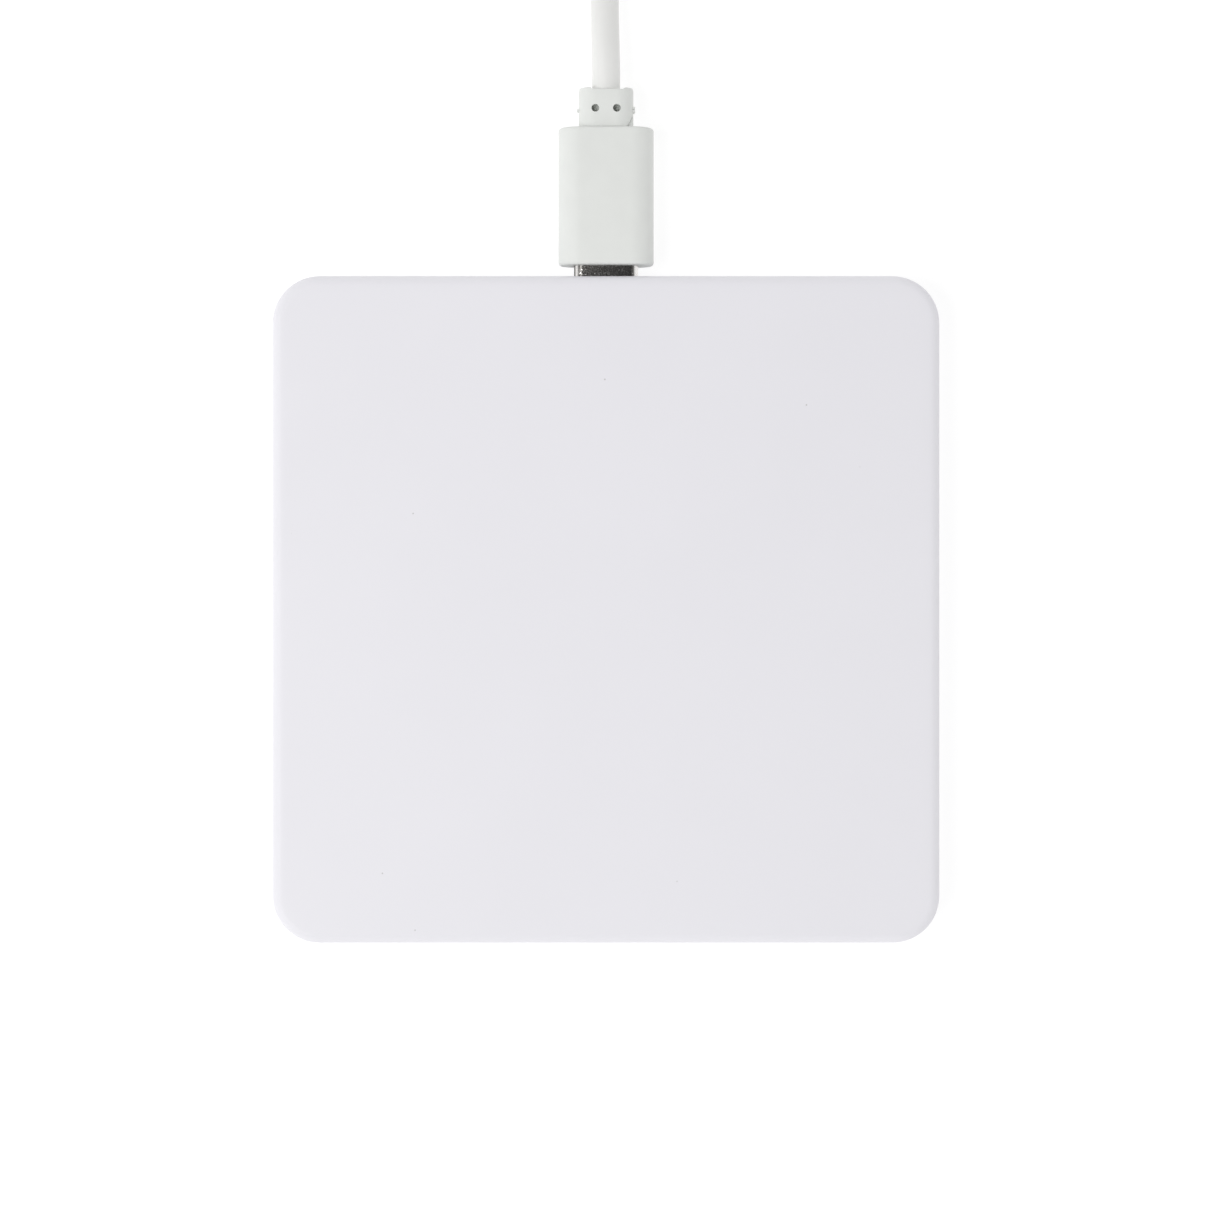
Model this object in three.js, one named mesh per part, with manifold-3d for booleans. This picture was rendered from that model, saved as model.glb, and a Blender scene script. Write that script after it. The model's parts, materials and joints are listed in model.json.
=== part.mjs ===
// Square wireless charging pad with its detachable USB lead.
//
// Millimetres, +Z up. The origin is on the table under the centre of the pad.
// The lead leaves the pad towards +Y, so -Y is the side that faces the user.

import * as THREE from 'three';
import { mergeVertices } from 'three/addons/utils/BufferGeometryUtils.js';
import Module from 'manifold-3d';

const wasm = await Module();
wasm.setup();

// ---------------------------------------------------------------- driving sizes

// Pad housing
const padWidth = 85;
const padDepth = 85;
const cornerRadius = 6;
const topFillet = 1.25;
const bottomFillet = 0.6;
const sideWall = 1.6;
const topPlate = 1.4;
const floorPlate = 1.3;
const partingStep = 0.3;
const lipWall = 1;
const lipRise = 1.6;
const lipClearance = 0.15;

// Feet, screws and the pillars they clamp
const footRadius = 5;
const footThickness = 1.2;
const footProtrusion = 0.6;
const footChamfer = 0.3;
const footClearance = 0.2;
const footInset = 8.5;
const pillarRadius = 3;
const pillarRise = 0.6;
const standoffRadius = 4.2;
const standoffRise = 0.3;
const screwHeadRadius = 1.9;
const screwHeadHeight = 1.2;
const screwHeadGap = 0.1;
const screwHeadClearance = 0.2;
const screwShankRadius = 1;
const screwShankLength = 3.6;
const screwShankClearance = 0.15;
const threadClearance = 0.05;
const screwTipGap = 0.2;
const crossSlotLength = 2.2;
const crossSlotWidth = 0.5;
const crossSlotDepth = 0.6;

// Circuit board and what it carries
const boardThickness = 0.8;
const boardClearance = 0.4;
const boardTabWidth = 12;
const notchClearance = 0.3;
const controllerSize = 6;
const bridgeSize = 5;
const chipHeight = 0.9;
const inductorSize = 5.2;
const inductorHeight = 2.4;
const inductorCorner = 1;
const inductorShift = 1.3;
const resonanceCapLength = 3.2;
const resonanceCapWidth = 2.5;
const resonanceCapHeight = 2;
const resonanceCapPitch = 4.4;
const resonanceCapCount = 4;
const inputCapLength = 3.2;
const inputCapWidth = 1.6;
const inputCapHeight = 1.2;
const thermistorLength = 1.6;
const thermistorWidth = 0.8;
const partSpacing = 2.4;
const boardEdgeGap = 0.6;

// Transmitter coil stack
const ferriteSize = 50;
const ferriteThickness = 0.8;
const ferriteCorner = 2;
const windingInnerRadius = 11;
const windingTurns = 9;
const windingPitch = 1.15;
const windingStrandWidth = 1;
const windingHeight = 2;
const windingStepsPerTurn = 12;
const leadRadius = 0.4;
const leadClearance = 0.1;
const leadRise = 1;
const leadSpacing = 4;
const foamThickness = 1;
const foamOverlap = 0.6;
const foamSlotWidth = 2;

// Status light
const ledWidth = 2.8;
const ledDepth = 1.2;
const ledHeight = 1.2;
const pipeRadius = 0.8;
const pipeFlangeRadius = 1.15;
const pipeFlangeThickness = 0.6;
const pipeClearance = 0.1;
const pipeGap = 0.2;

// USB type C socket and plug, in their standard sizes
const socketWidth = 8.94;
const socketHeight = 3.16;
const socketLength = 7.35;
const socketWall = 0.3;
const socketRecess = 0.2;
const socketSlotClearance = 0.18;
const tongueWidth = 6.69;
const tongueThickness = 0.7;
const tongueLength = 4.45;
const tongueBlock = 1.7;
const plugShellWidth = 8.25;
const plugShellHeight = 2.4;
const plugShellWall = 0.25;
const plugShellReach = 6.65;
const plugShellBuried = 3;
const stadiumFlat = 0.1;
const plugGap = 1.5;
const carrierClearance = 0.05;
const carrierMouthClearance = 0.15;
const tongueEndGap = 0.5;

// Moulded plug body and its strain relief
const housingWidth = 12.2;
const housingHeight = 6;
const housingLength = 17.6;
const housingCorner = 2.9;
const housingEdge = 0.35;
const mouldingGap = 0.05;
const plugBoardWidth = 9;
const plugBoardLength = 6;
const plugBoardThickness = 0.8;
const plugBoardGap = 0.3;
const collarWidth = 7;
const collarHeight = 4.6;
const collarLength = 5.1;
const collarCorner = 1.8;
const collarEdge = 0.25;
const collarCoreWidth = 5.6;
const collarCoreHeight = 3.4;
const collarDish = 0.25;
const collarLobeRadius = 1.1;
const collarLobeInset = 0.825;
const collarHoleRadius = 0.5;
const collarHoleDepth = 1;
const collarHoleSpacing = 2.74;
const collarHoleFromRear = 2.7;
const collarNubProtrusion = 0.25;
const collarNubLength = 0.9;
const collarNubHeight = 2;

// Cord, put away as a two-layer coil held by a tie
const cordDiameter = 3.6;
const cordSides = 8;
const meetingGap = 0.3;
const coilCentreX = -12.3;
const coilCentreY = 110.5;
const coilOuterTurnRadius = 26.2;
const coilTurns = 4;
const coilLayers = 2;
const coilChamfer = 1;
const coilSegments = 40;
const tieWidth = 6;
const tieThickness = 0.8;
const tieCorner = 0.5;
const tieSlack = 0.3;
const coilLiftAtTie = 1.1;

// USB type A plug at the far end
const farPlugX = 26;
const farReliefStart = 101.8;
const farReliefLength = 9;
const farReliefSmallRadius = 2.3;
const farReliefLargeRadius = 3.1;
const farReliefGrooves = 4;
const farReliefGrooveDepth = 0.35;
const farHousingWidth = 16;
const farHousingHeight = 8;
const farHousingLength = 20;
const farHousingCorner = 2.6;
const farHousingEdge = 0.6;
const farShellWidth = 12;
const farShellHeight = 4.5;
const farShellWall = 0.3;
const farShellCorner = 0.6;
const farShellReach = 12;
const farShellBuried = 5;
const farWindowWidth = 2;
const farWindowLength = 2.5;
const farWindowSpacing = 5.4;
const farWindowFromTip = 4.6;
const farInsulatorThickness = 1.9;
const farInsulatorSetback = 0.6;
const farInsulatorClearance = 0.1;
const farContactWidth = 1;
const farContactLength = 8;
const farContactThickness = 0.25;
const farContactCentres = [-3.5, -1, 1, 3.5];

// Smoothness
const largeCornerSteps = 3;
const smallCornerSteps = 2;
const largeCorner = 3;
const filletSteps = 3;
const edgeSteps = 2;
const holeSides = 12;
const footSides = 24;
const innerLeadSteps = 14;
const outerLeadSteps = 12;
const cordLeadSteps = 8;
const cordTailSteps = 16;
const cutMargin = 1;

// ---------------------------------------------------------------- worked-out places

const shellBottom = footProtrusion;
const floorTop = shellBottom + floorPlate;
const parting = floorTop + partingStep;
const lipTop = parting + lipRise;
const boardBottom = floorTop + standoffRise;
const boardTop = boardBottom + boardThickness;
const ferriteTop = boardTop + ferriteThickness;
const windingTop = ferriteTop + windingHeight;
const windingMiddle = ferriteTop + windingHeight / 2;
const ceiling = windingTop + foamThickness;
const padHeight = ceiling + topPlate;
const pillarTop = boardTop + pillarRise;
const headSeat = footThickness + screwHeadGap + screwHeadHeight;
const screwTip = headSeat + screwShankLength;
const footX = padWidth / 2 - footInset;
const footY = padDepth / 2 - footInset;
const corners = [[-footX, -footY], [footX, -footY], [footX, footY], [-footX, footY]];

const lipOuterWidth = padWidth - 2 * (sideWall + lipClearance);
const lipOuterDepth = padDepth - 2 * (sideWall + lipClearance);
const lipOuterCorner = cornerRadius - sideWall - lipClearance;
const boardWidth = lipOuterWidth - 2 * (lipWall + boardClearance);
const boardDepth = lipOuterDepth - 2 * (lipWall + boardClearance);
const boardCorner = lipOuterCorner - lipWall - boardClearance;

const windingOuterRadius = windingInnerRadius + windingTurns * windingPitch;

const portZ = boardTop + socketHeight / 2;
const socketFront = padDepth / 2 - socketRecess;
const socketRear = socketFront - socketLength;
const leadEnd = (ferriteSize / 2 + socketRear) / 2;
const tongueRoot = socketRear + tongueBlock;
const tongueTip = tongueRoot + tongueLength;
const housingFront = padDepth / 2 + plugGap;
const housingRear = housingFront + housingLength;
const plugTip = housingFront - plugShellReach;
const plugShellRear = housingFront + plugShellBuried;
const plugBoardStart = plugShellRear + plugBoardGap;
const coreStart = plugBoardStart + plugBoardLength + plugBoardGap;
const collarRear = housingRear + collarLength;

const ledFace = -boardDepth / 2;
const ledZ = boardTop + ledHeight / 2;

const farZ = farHousingHeight / 2;
const farHousingStart = farReliefStart + farReliefLength;
const farHousingFront = farHousingStart + farHousingLength;
const farTip = farHousingFront + farShellReach;
const farShellRear = farHousingFront - farShellBuried;

// The cord's free stretches, chosen by hand: out of the plug and down to the
// table, then from the top of the coil to the far plug.
const leadRoute = [
  [0, collarRear + meetingGap, portZ],
  [0, 69.5, 4.55],
  [-0.05, 72, 4.35],
  [-0.12, 75, 3.75],
  [-0.16, 78, 2.95],
  [-0.05, 80.8, 2.25],
  [0.3, 82.9, 1.95],
];
const tailRoute = [
  [6.5, 86.1, 4.9],
  [11, 85.9, 3.4],
  [15, 86, 2.2],
  [19.2, 86.8, 1.85],
  [22.8, 89.2, 1.85],
  [25.2, 92.8, 2.05],
  [26, 96.6, 2.9],
  [26, 99.5, 3.8],
  [farPlugX, farReliefStart - meetingGap, farZ],
];

// ---------------------------------------------------------------- solids

function toSolid(geometry) {
  geometry.deleteAttribute('normal');
  geometry.deleteAttribute('uv');
  const merged = mergeVertices(geometry);
  const corner = merged.index.array;
  const kept = [];
  for (let i = 0; i < corner.length; i += 3) {
    const [a, b, c] = [corner[i], corner[i + 1], corner[i + 2]];
    if (a !== b && b !== c && c !== a) kept.push(a, b, c);
  }
  const vertProperties = new Float32Array(merged.attributes.position.array);
  const build = (tri) => new wasm.Manifold(
    new wasm.Mesh({ numProp: 3, vertProperties, triVerts: new Uint32Array(tri) }));
  const solid = build(kept);
  return solid.volume() > 0 ? solid : build(kept.reverse());
}

function toGeometry(solid) {
  const mesh = solid.getMesh();
  const geometry = new THREE.BufferGeometry();
  geometry.setAttribute('position', new THREE.BufferAttribute(mesh.vertProperties, 3));
  geometry.setIndex(new THREE.BufferAttribute(mesh.triVerts, 1));
  geometry.computeVertexNormals();
  return geometry;
}

function roundedRect(width, height, radius) {
  const x = width / 2 - radius;
  const y = height / 2 - radius;
  const shape = new THREE.Shape();
  shape.absarc(x, y, radius, 0, Math.PI / 2);
  shape.absarc(-x, y, radius, Math.PI / 2, Math.PI);
  shape.absarc(-x, -y, radius, Math.PI, 1.5 * Math.PI);
  shape.absarc(x, -y, radius, 1.5 * Math.PI, 2 * Math.PI);
  return shape;
}

function stepsFor(radius) {
  return radius > largeCorner ? largeCornerSteps : smallCornerSteps;
}

// A rounded rectangle raised from z0 to z1.
function slab(width, depth, radius, z0, z1) {
  const options = { depth: z1 - z0, bevelEnabled: false, curveSegments: stepsFor(radius) };
  const geometry = new THREE.ExtrudeGeometry(roundedRect(width, depth, radius), options);
  geometry.translate(0, 0, z0);
  return toSolid(geometry);
}

// The same with both long edges rounded by the fillet.
function filletedSlab(width, depth, radius, fillet, z0, z1, steps = filletSteps) {
  const shape = roundedRect(width - 2 * fillet, depth - 2 * fillet, radius - fillet);
  const geometry = new THREE.ExtrudeGeometry(shape, {
    depth: z1 - z0 - 2 * fillet,
    bevelThickness: fillet,
    bevelSize: fillet,
    bevelSegments: steps,
    curveSegments: stepsFor(radius),
  });
  geometry.translate(0, 0, z0 + fillet);
  return toSolid(geometry);
}

// A slab whose length runs along Y, centred on x and z.
function alongY(solid, x, z) {
  return solid.rotate([90, 0, 0]).translate([x, 0, z]);
}

function barY(width, height, radius, y0, y1, x = 0, z = portZ) {
  return alongY(slab(width, height, radius, -y1, -y0), x, z);
}

function filletedBarY(width, height, radius, fillet, y0, y1, x = 0, z = portZ) {
  return alongY(filletedSlab(width, height, radius, fillet, -y1, -y0, edgeSteps), x, z);
}

function box(x0, x1, y0, y1, z0, z1) {
  const geometry = new THREE.BoxGeometry(x1 - x0, y1 - y0, z1 - z0);
  geometry.translate((x0 + x1) / 2, (y0 + y1) / 2, (z0 + z1) / 2);
  return toSolid(geometry);
}

function postZ(x, y, radius, z0, z1, sides = holeSides) {
  const geometry = new THREE.CylinderGeometry(radius, radius, z1 - z0, sides);
  geometry.rotateX(Math.PI / 2);
  geometry.translate(x, y, (z0 + z1) / 2);
  return toSolid(geometry);
}

// A profile of [radius, height] pairs, turned about the Z axis.
function turned(profile, sides) {
  const points = profile.map(([radius, height]) => new THREE.Vector2(radius, height));
  const geometry = new THREE.LatheGeometry(points, sides);
  geometry.rotateX(Math.PI / 2);
  return toSolid(geometry);
}

function tubeAlong(points, radius, steps) {
  const path = new THREE.CatmullRomCurve3(points.map((p) => new THREE.Vector3(...p)));
  const section = new THREE.Shape();
  section.absarc(0, 0, radius, 0, 2 * Math.PI);
  const options = { extrudePath: path, steps, curveSegments: cordSides / 2, bevelEnabled: false };
  return toSolid(new THREE.ExtrudeGeometry(section, options));
}

function union(first, ...others) {
  return others.reduce((sum, solid) => sum.add(solid), first);
}

function cut(first, ...others) {
  return others.reduce((rest, solid) => rest.subtract(solid), first);
}

// ---------------------------------------------------------------- finishes

const finish = (color, roughness, metalness) => () => (
  new THREE.MeshStandardMaterial({ color, roughness, metalness }));
const whiteAbs = finish(0xe9e8ec, 0.55, 0);
const whiteTpe = finish(0xdfe0dd, 0.6, 0);
const greyRubber = finish(0xb9babd, 0.85, 0);
const greenLaminate = finish(0x1f5a3a, 0.5, 0);
const blackEpoxy = finish(0x1d1d1f, 0.5, 0);
const darkFerrite = finish(0x2f2f31, 0.8, 0);
const enamelledCopper = finish(0xb06a35, 0.4, 0.9);
const whiteFoam = finish(0xd8d8d4, 0.95, 0);
const tanCeramic = finish(0xb89a74, 0.6, 0);
const clearAcrylic = finish(0xf2f5f6, 0.1, 0);
const zincScrew = finish(0xa9abad, 0.4, 1);
const darkSteel = finish(0x6e6c6a, 0.45, 1);
const brightSteel = finish(0xc4c6c8, 0.3, 1);
const blackNylon = finish(0x242426, 0.6, 0);
const goldPlate = finish(0xd1a85a, 0.3, 1);
const greyStrap = finish(0xc9cacc, 0.95, 0);

// ---------------------------------------------------------------- pad housing

function makeTopCover() {
  const cavityWidth = padWidth - 2 * sideWall;
  const cavityDepth = padDepth - 2 * sideWall;
  const cavityCorner = cornerRadius - sideWall;
  const outside = filletedSlab(padWidth, padDepth, cornerRadius, topFillet, shellBottom, padHeight);
  const below = box(-padWidth, padWidth, -padDepth, padDepth, 0, parting);
  const cavity = slab(cavityWidth, cavityDepth, cavityCorner, 0, ceiling);
  const bosses = corners.map(([x, y]) => postZ(x, y, pillarRadius, pillarTop, ceiling + topPlate / 2));
  const pilotRadius = screwShankRadius + threadClearance;
  const pilots = corners.map(([x, y]) => postZ(x, y, pilotRadius, 0, screwTip + screwTipGap));
  const clearance = 2 * socketSlotClearance;
  const slotHeight = socketHeight + clearance;
  const slotFrom = padDepth / 2 - sideWall - cutMargin;
  const slotTo = padDepth / 2 + cutMargin;
  const slot = barY(socketWidth + clearance, slotHeight, (slotHeight - stadiumFlat) / 2, slotFrom, slotTo);
  const pipeHole = makePipeHole();
  return cut(union(cut(outside, below, cavity), ...bosses), ...pilots, slot, pipeHole);
}

function makeBottomCover() {
  const outside = filletedSlab(padWidth, padDepth, cornerRadius, bottomFillet, shellBottom, padHeight);
  const above = box(-padWidth, padWidth, -padDepth, padDepth, parting, 2 * padHeight);
  const lipInnerWidth = lipOuterWidth - 2 * lipWall;
  const lipInnerDepth = lipOuterDepth - 2 * lipWall;
  const lip = slab(lipOuterWidth, lipOuterDepth, lipOuterCorner, floorTop, lipTop);
  const cavity = slab(lipInnerWidth, lipInnerDepth, lipOuterCorner - lipWall, floorTop, 2 * padHeight);
  const standoffs = corners.map(([x, y]) => postZ(x, y, standoffRadius, floorTop - floorPlate / 2, boardBottom));
  const pillars = corners.map(([x, y]) => postZ(x, y, pillarRadius, floorTop - floorPlate / 2, pillarTop));
  const recessRadius = footRadius + footClearance;
  const recesses = corners.map(([x, y]) => postZ(x, y, recessRadius, 0, footThickness, footSides));
  const headRadius = screwHeadRadius + screwHeadClearance;
  const counterbores = corners.map(([x, y]) => postZ(x, y, headRadius, 0, headSeat));
  const shankRadius = screwShankRadius + screwShankClearance;
  const shankHoles = corners.map(([x, y]) => postZ(x, y, shankRadius, 0, padHeight));
  const notch = boardTabWidth / 2 + notchClearance;
  const portNotch = box(-notch, notch, lipInnerDepth / 2 - cutMargin, padDepth, parting, padHeight);
  const tray = union(cut(union(cut(outside, above), lip), cavity), ...standoffs, ...pillars);
  return cut(tray, ...recesses, ...counterbores, ...shankHoles, portNotch, makePipeHole());
}

// Each foot is glued into its recess and hides a screw.
function makeFoot(x, y) {
  const profile = [
    [0, 0],
    [footRadius - footChamfer, 0],
    [footRadius, footChamfer],
    [footRadius, footThickness],
    [0, footThickness],
  ];
  return turned(profile, footSides).translate([x, y, 0]);
}

function makeScrew(x, y) {
  const profile = [
    [0, headSeat - screwHeadHeight],
    [screwHeadRadius, headSeat - screwHeadHeight],
    [screwHeadRadius, headSeat],
    [screwShankRadius, headSeat],
    [screwShankRadius, screwTip - screwShankRadius],
    [0, screwTip],
  ];
  const half = crossSlotLength / 2;
  const thin = crossSlotWidth / 2;
  const slotTop = headSeat - screwHeadHeight + crossSlotDepth;
  const cross = union(box(-half, half, -thin, thin, 0, slotTop), box(-thin, thin, -half, half, 0, slotTop));
  return cut(turned(profile, holeSides), cross).translate([x, y, 0]);
}

// ---------------------------------------------------------------- electronics

function makeBoard() {
  const plate = slab(boardWidth, boardDepth, boardCorner, boardBottom, boardTop);
  const tabEnd = padDepth / 2 - sideWall - notchClearance;
  const tab = box(-boardTabWidth / 2, boardTabWidth / 2, 0, tabEnd, boardBottom, boardTop);
  const holeRadius = pillarRadius + notchClearance;
  const holes = corners.map(([x, y]) => postZ(x, y, holeRadius, 0, padHeight));
  return cut(union(plate, tab), ...holes);
}

function makeInductor(x, y) {
  return slab(inductorSize, inductorSize, inductorCorner, boardTop, boardTop + inductorHeight)
    .translate([x, y, 0]);
}

function makeChipPart(x, y, sizeX, sizeY, bottom, height) {
  return box(x - sizeX / 2, x + sizeX / 2, y - sizeY / 2, y + sizeY / 2, bottom, bottom + height);
}

function makeSocketShell() {
  const innerWidth = socketWidth - 2 * socketWall;
  const innerHeight = socketHeight - 2 * socketWall;
  const outerCorner = (socketHeight - stadiumFlat) / 2;
  const outside = barY(socketWidth, socketHeight, outerCorner, socketRear, socketFront);
  const inside = barY(innerWidth, innerHeight, outerCorner - socketWall,
    socketRear - cutMargin, socketFront + cutMargin);
  return cut(outside, inside);
}

function makeSocketTongue() {
  const width = socketWidth - 2 * (socketWall + carrierClearance);
  const height = socketHeight - 2 * (socketWall + carrierClearance);
  const block = barY(width, height, (height - stadiumFlat) / 2, socketRear, tongueRoot);
  const half = tongueThickness / 2;
  const blade = box(-tongueWidth / 2, tongueWidth / 2, socketRear + tongueBlock / 2, tongueTip,
    portZ - half, portZ + half);
  return union(block, blade);
}

// ---------------------------------------------------------------- status light

function makeLed() {
  return box(-ledWidth / 2, ledWidth / 2, ledFace, ledFace + ledDepth, boardTop, boardTop + ledHeight);
}

function makePipeHole() {
  const radius = pipeRadius + pipeClearance;
  const flange = pipeFlangeRadius + pipeClearance;
  const wallInside = -padDepth / 2 + sideWall;
  const bore = alongY(postZ(0, 0, radius, -wallInside - cutMargin, padDepth / 2 + cutMargin), 0, ledZ);
  const seat = alongY(postZ(0, 0, flange, -ledFace - cutMargin, -wallInside), 0, ledZ);
  return union(bore, seat);
}

// Clear rod, flush with the wall's outside, with a flange that keeps it in.
function makeLightPipe() {
  const wallInside = padDepth / 2 - sideWall;
  const profile = [
    [0, -ledFace + pipeGap],
    [pipeRadius, -ledFace + pipeGap],
    [pipeRadius, wallInside - pipeFlangeThickness],
    [pipeFlangeRadius, wallInside - pipeFlangeThickness],
    [pipeFlangeRadius, wallInside],
    [pipeRadius, wallInside],
    [pipeRadius, padDepth / 2],
    [0, padDepth / 2],
  ];
  return alongY(turned(profile, holeSides), 0, ledZ);
}

// ---------------------------------------------------------------- transmitter coil

class FlatSpiral extends THREE.Curve {
  getPoint(t) {
    const angle = Math.PI / 2 + t * windingTurns * 2 * Math.PI;
    const radius = windingInnerRadius + t * windingTurns * windingPitch;
    return new THREE.Vector3(radius * Math.cos(angle), radius * Math.sin(angle), windingMiddle);
  }
}

function makeWinding() {
  const [halfHeight, halfWidth] = [windingHeight / 2, windingStrandWidth / 2];
  const section = new THREE.Shape([
    new THREE.Vector2(-halfHeight, -halfWidth),
    new THREE.Vector2(halfHeight, -halfWidth),
    new THREE.Vector2(halfHeight, halfWidth),
    new THREE.Vector2(-halfHeight, halfWidth),
  ]);
  return toSolid(new THREE.ExtrudeGeometry(section, {
    extrudePath: new FlatSpiral(),
    steps: windingTurns * windingStepsPerTurn,
    bevelEnabled: false,
  }));
}

function makeFerrite() {
  return slab(ferriteSize, ferriteSize, ferriteCorner, boardTop, ferriteTop);
}

function makeFoam() {
  const outer = windingOuterRadius + foamOverlap;
  const inner = windingInnerRadius - foamOverlap;
  const profile = [[inner, windingTop], [outer, windingTop], [outer, ceiling], [inner, ceiling]];
  const ring = turned([...profile, profile[0]], coilSegments);
  const half = foamSlotWidth / 2;
  return cut(ring, box(-half, half, 0, 2 * outer, windingTop - cutMargin, ceiling + cutMargin));
}

// Over the winding, past the ferrite's edge and down to its solder pad.
function makeInnerLead() {
  const overWinding = windingTop + leadRadius + leadClearance;
  const overFerrite = ferriteTop + leadRadius + leadClearance;
  const onBoard = boardTop + leadRadius + leadClearance;
  return tubeAlong([
    [0, windingInnerRadius, overWinding],
    [0, (windingInnerRadius + windingOuterRadius) / 2, overWinding],
    [0, windingOuterRadius, overWinding],
    [0, ferriteSize / 2 - leadRise, (overWinding + overFerrite) / 2 + leadRise / 2],
    [0, ferriteSize / 2 + leadRadius, overFerrite],
    [0, leadEnd, onBoard],
  ], leadRadius, innerLeadSteps);
}

// From the outer turn, over the ferrite's edge, down to its solder pad.
function makeOuterLead() {
  const overFerrite = ferriteTop + leadRadius + leadClearance;
  const onBoard = boardTop + leadRadius + leadClearance;
  return tubeAlong([
    [-meetingGap, windingOuterRadius, windingMiddle],
    [-leadSpacing / 2, windingOuterRadius + leadRadius, windingMiddle],
    [-leadSpacing, windingOuterRadius + leadSpacing / 2, overFerrite + leadRadius],
    [-leadSpacing, ferriteSize / 2 + leadRadius, overFerrite],
    [-leadSpacing, leadEnd, onBoard],
  ], leadRadius, outerLeadSteps);
}

// ---------------------------------------------------------------- type C plug

function makePlugShell() {
  const corner = (plugShellHeight - stadiumFlat) / 2;
  const innerWidth = plugShellWidth - 2 * plugShellWall;
  const innerHeight = plugShellHeight - 2 * plugShellWall;
  const outside = barY(plugShellWidth, plugShellHeight, corner, plugTip, plugShellRear);
  const inside = barY(innerWidth, innerHeight, corner - plugShellWall,
    plugTip - cutMargin, plugShellRear + cutMargin);
  return cut(outside, inside);
}

// Plastic body in the shell, with the mouth that takes the socket's tongue.
function makeContactCarrier() {
  const width = plugShellWidth - 2 * (plugShellWall + carrierClearance);
  const height = plugShellHeight - 2 * (plugShellWall + carrierClearance);
  const body = barY(width, height, (height - stadiumFlat) / 2, plugTip + plugShellWall, plugShellRear);
  const halfWidth = tongueWidth / 2 + carrierMouthClearance;
  const halfHeight = tongueThickness / 2 + carrierMouthClearance;
  const mouthEnd = tongueTip + tongueEndGap;
  const mouth = box(-halfWidth, halfWidth, plugTip - cutMargin, mouthEnd, portZ - halfHeight, portZ + halfHeight);
  return cut(body, mouth);
}

function makePlugBoard() {
  const half = plugBoardThickness / 2;
  return box(-plugBoardWidth / 2, plugBoardWidth / 2, plugBoardStart, plugBoardStart + plugBoardLength,
    portZ - half, portZ + half);
}

// Moulded round the shell's rear, the plug board and the strain relief's core.
function makePlugHousing() {
  const body = filletedBarY(housingWidth, housingHeight, housingCorner, housingEdge, housingFront, housingRear);
  const shellWidth = plugShellWidth + 2 * mouldingGap;
  const shellHeight = plugShellHeight + 2 * mouldingGap;
  const shellHole = barY(shellWidth, shellHeight, (shellHeight - stadiumFlat) / 2,
    housingFront - cutMargin, plugShellRear + plugBoardGap / 2);
  const boardHalf = plugBoardWidth / 2 + mouldingGap;
  const boardHeight = plugBoardThickness / 2 + mouldingGap;
  const boardSpace = box(-boardHalf, boardHalf, plugShellRear, coreStart, portZ - boardHeight, portZ + boardHeight);
  const coreHalfWidth = collarCoreWidth / 2 + mouldingGap;
  const coreHalfHeight = collarCoreHeight / 2 + mouldingGap;
  const coreSpace = box(-coreHalfWidth, coreHalfWidth, coreStart - plugBoardGap / 2, housingRear + cutMargin,
    portZ - coreHalfHeight, portZ + coreHalfHeight);
  return cut(body, shellHole, boardSpace, coreSpace);
}

// Collar behind the housing: two blind mould-pin holes, a nub on each side,
// and a rear face that dips between two rounded lobes where the cord enters.
function makeStrainRelief() {
  const core = box(-collarCoreWidth / 2, collarCoreWidth / 2, coreStart, housingRear + collarLength / 2,
    portZ - collarCoreHeight / 2, portZ + collarCoreHeight / 2);
  const front = housingRear + mouldingGap;
  const sleeve = filletedBarY(collarWidth, collarHeight, collarCorner, collarEdge,
    front, collarRear - collarDish);
  const envelope = barY(collarWidth, collarHeight, collarCorner, front, collarRear);
  const lobeX = collarWidth / 2 - collarLobeInset;
  const lobes = [-lobeX, lobeX].map((x) => postZ(x, collarRear - collarLobeRadius, collarLobeRadius,
    portZ - collarHeight, portZ + collarHeight, footSides).intersect(envelope));
  const nubY = collarRear - collarHoleFromRear;
  const nubX = collarWidth / 2 + collarNubProtrusion;
  const nub = box(-nubX, nubX, nubY - collarNubLength / 2, nubY + collarNubLength / 2,
    portZ - collarNubHeight / 2, portZ + collarNubHeight / 2);
  const holeBottom = portZ + collarHeight / 2 - collarHoleDepth;
  const holes = [-collarHoleSpacing / 2, collarHoleSpacing / 2].map((x) => (
    postZ(x, nubY, collarHoleRadius, holeBottom, portZ + collarHeight)));
  return cut(union(sleeve, core, ...lobes, nub), ...holes);
}

// ---------------------------------------------------------------- cord and coil

function makeCordLead() {
  return tubeAlong(leadRoute, cordDiameter / 2, cordLeadSteps);
}

function makeCordTail() {
  return tubeAlong(tailRoute, cordDiameter / 2, cordTailSteps);
}

const coilOuter = coilOuterTurnRadius + cordDiameter / 2;
const coilInner = coilOuterTurnRadius - (coilTurns + 0.5) * cordDiameter;
const coilHeight = coilLayers * cordDiameter;

// Outline of the wound cord, relieved underneath where the tie passes.
function makeCordCoil() {
  const profile = [
    [coilInner, coilChamfer],
    [coilInner + coilChamfer, 0],
    [coilOuter - coilChamfer, 0],
    [coilOuter, coilChamfer],
    [coilOuter, coilHeight - coilChamfer],
    [coilOuter - coilChamfer, coilHeight],
    [coilInner + coilChamfer, coilHeight],
    [coilInner, coilHeight - coilChamfer],
  ];
  const ring = turned([...profile, profile[0]], coilSegments);
  const half = tieWidth / 2 + meetingGap;
  const under = box(-coilOuter - cutMargin, -coilInner + cutMargin, -half, half,
    -cutMargin, coilLiftAtTie);
  return cut(ring, under).translate([coilCentreX, coilCentreY, 0]);
}

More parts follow.
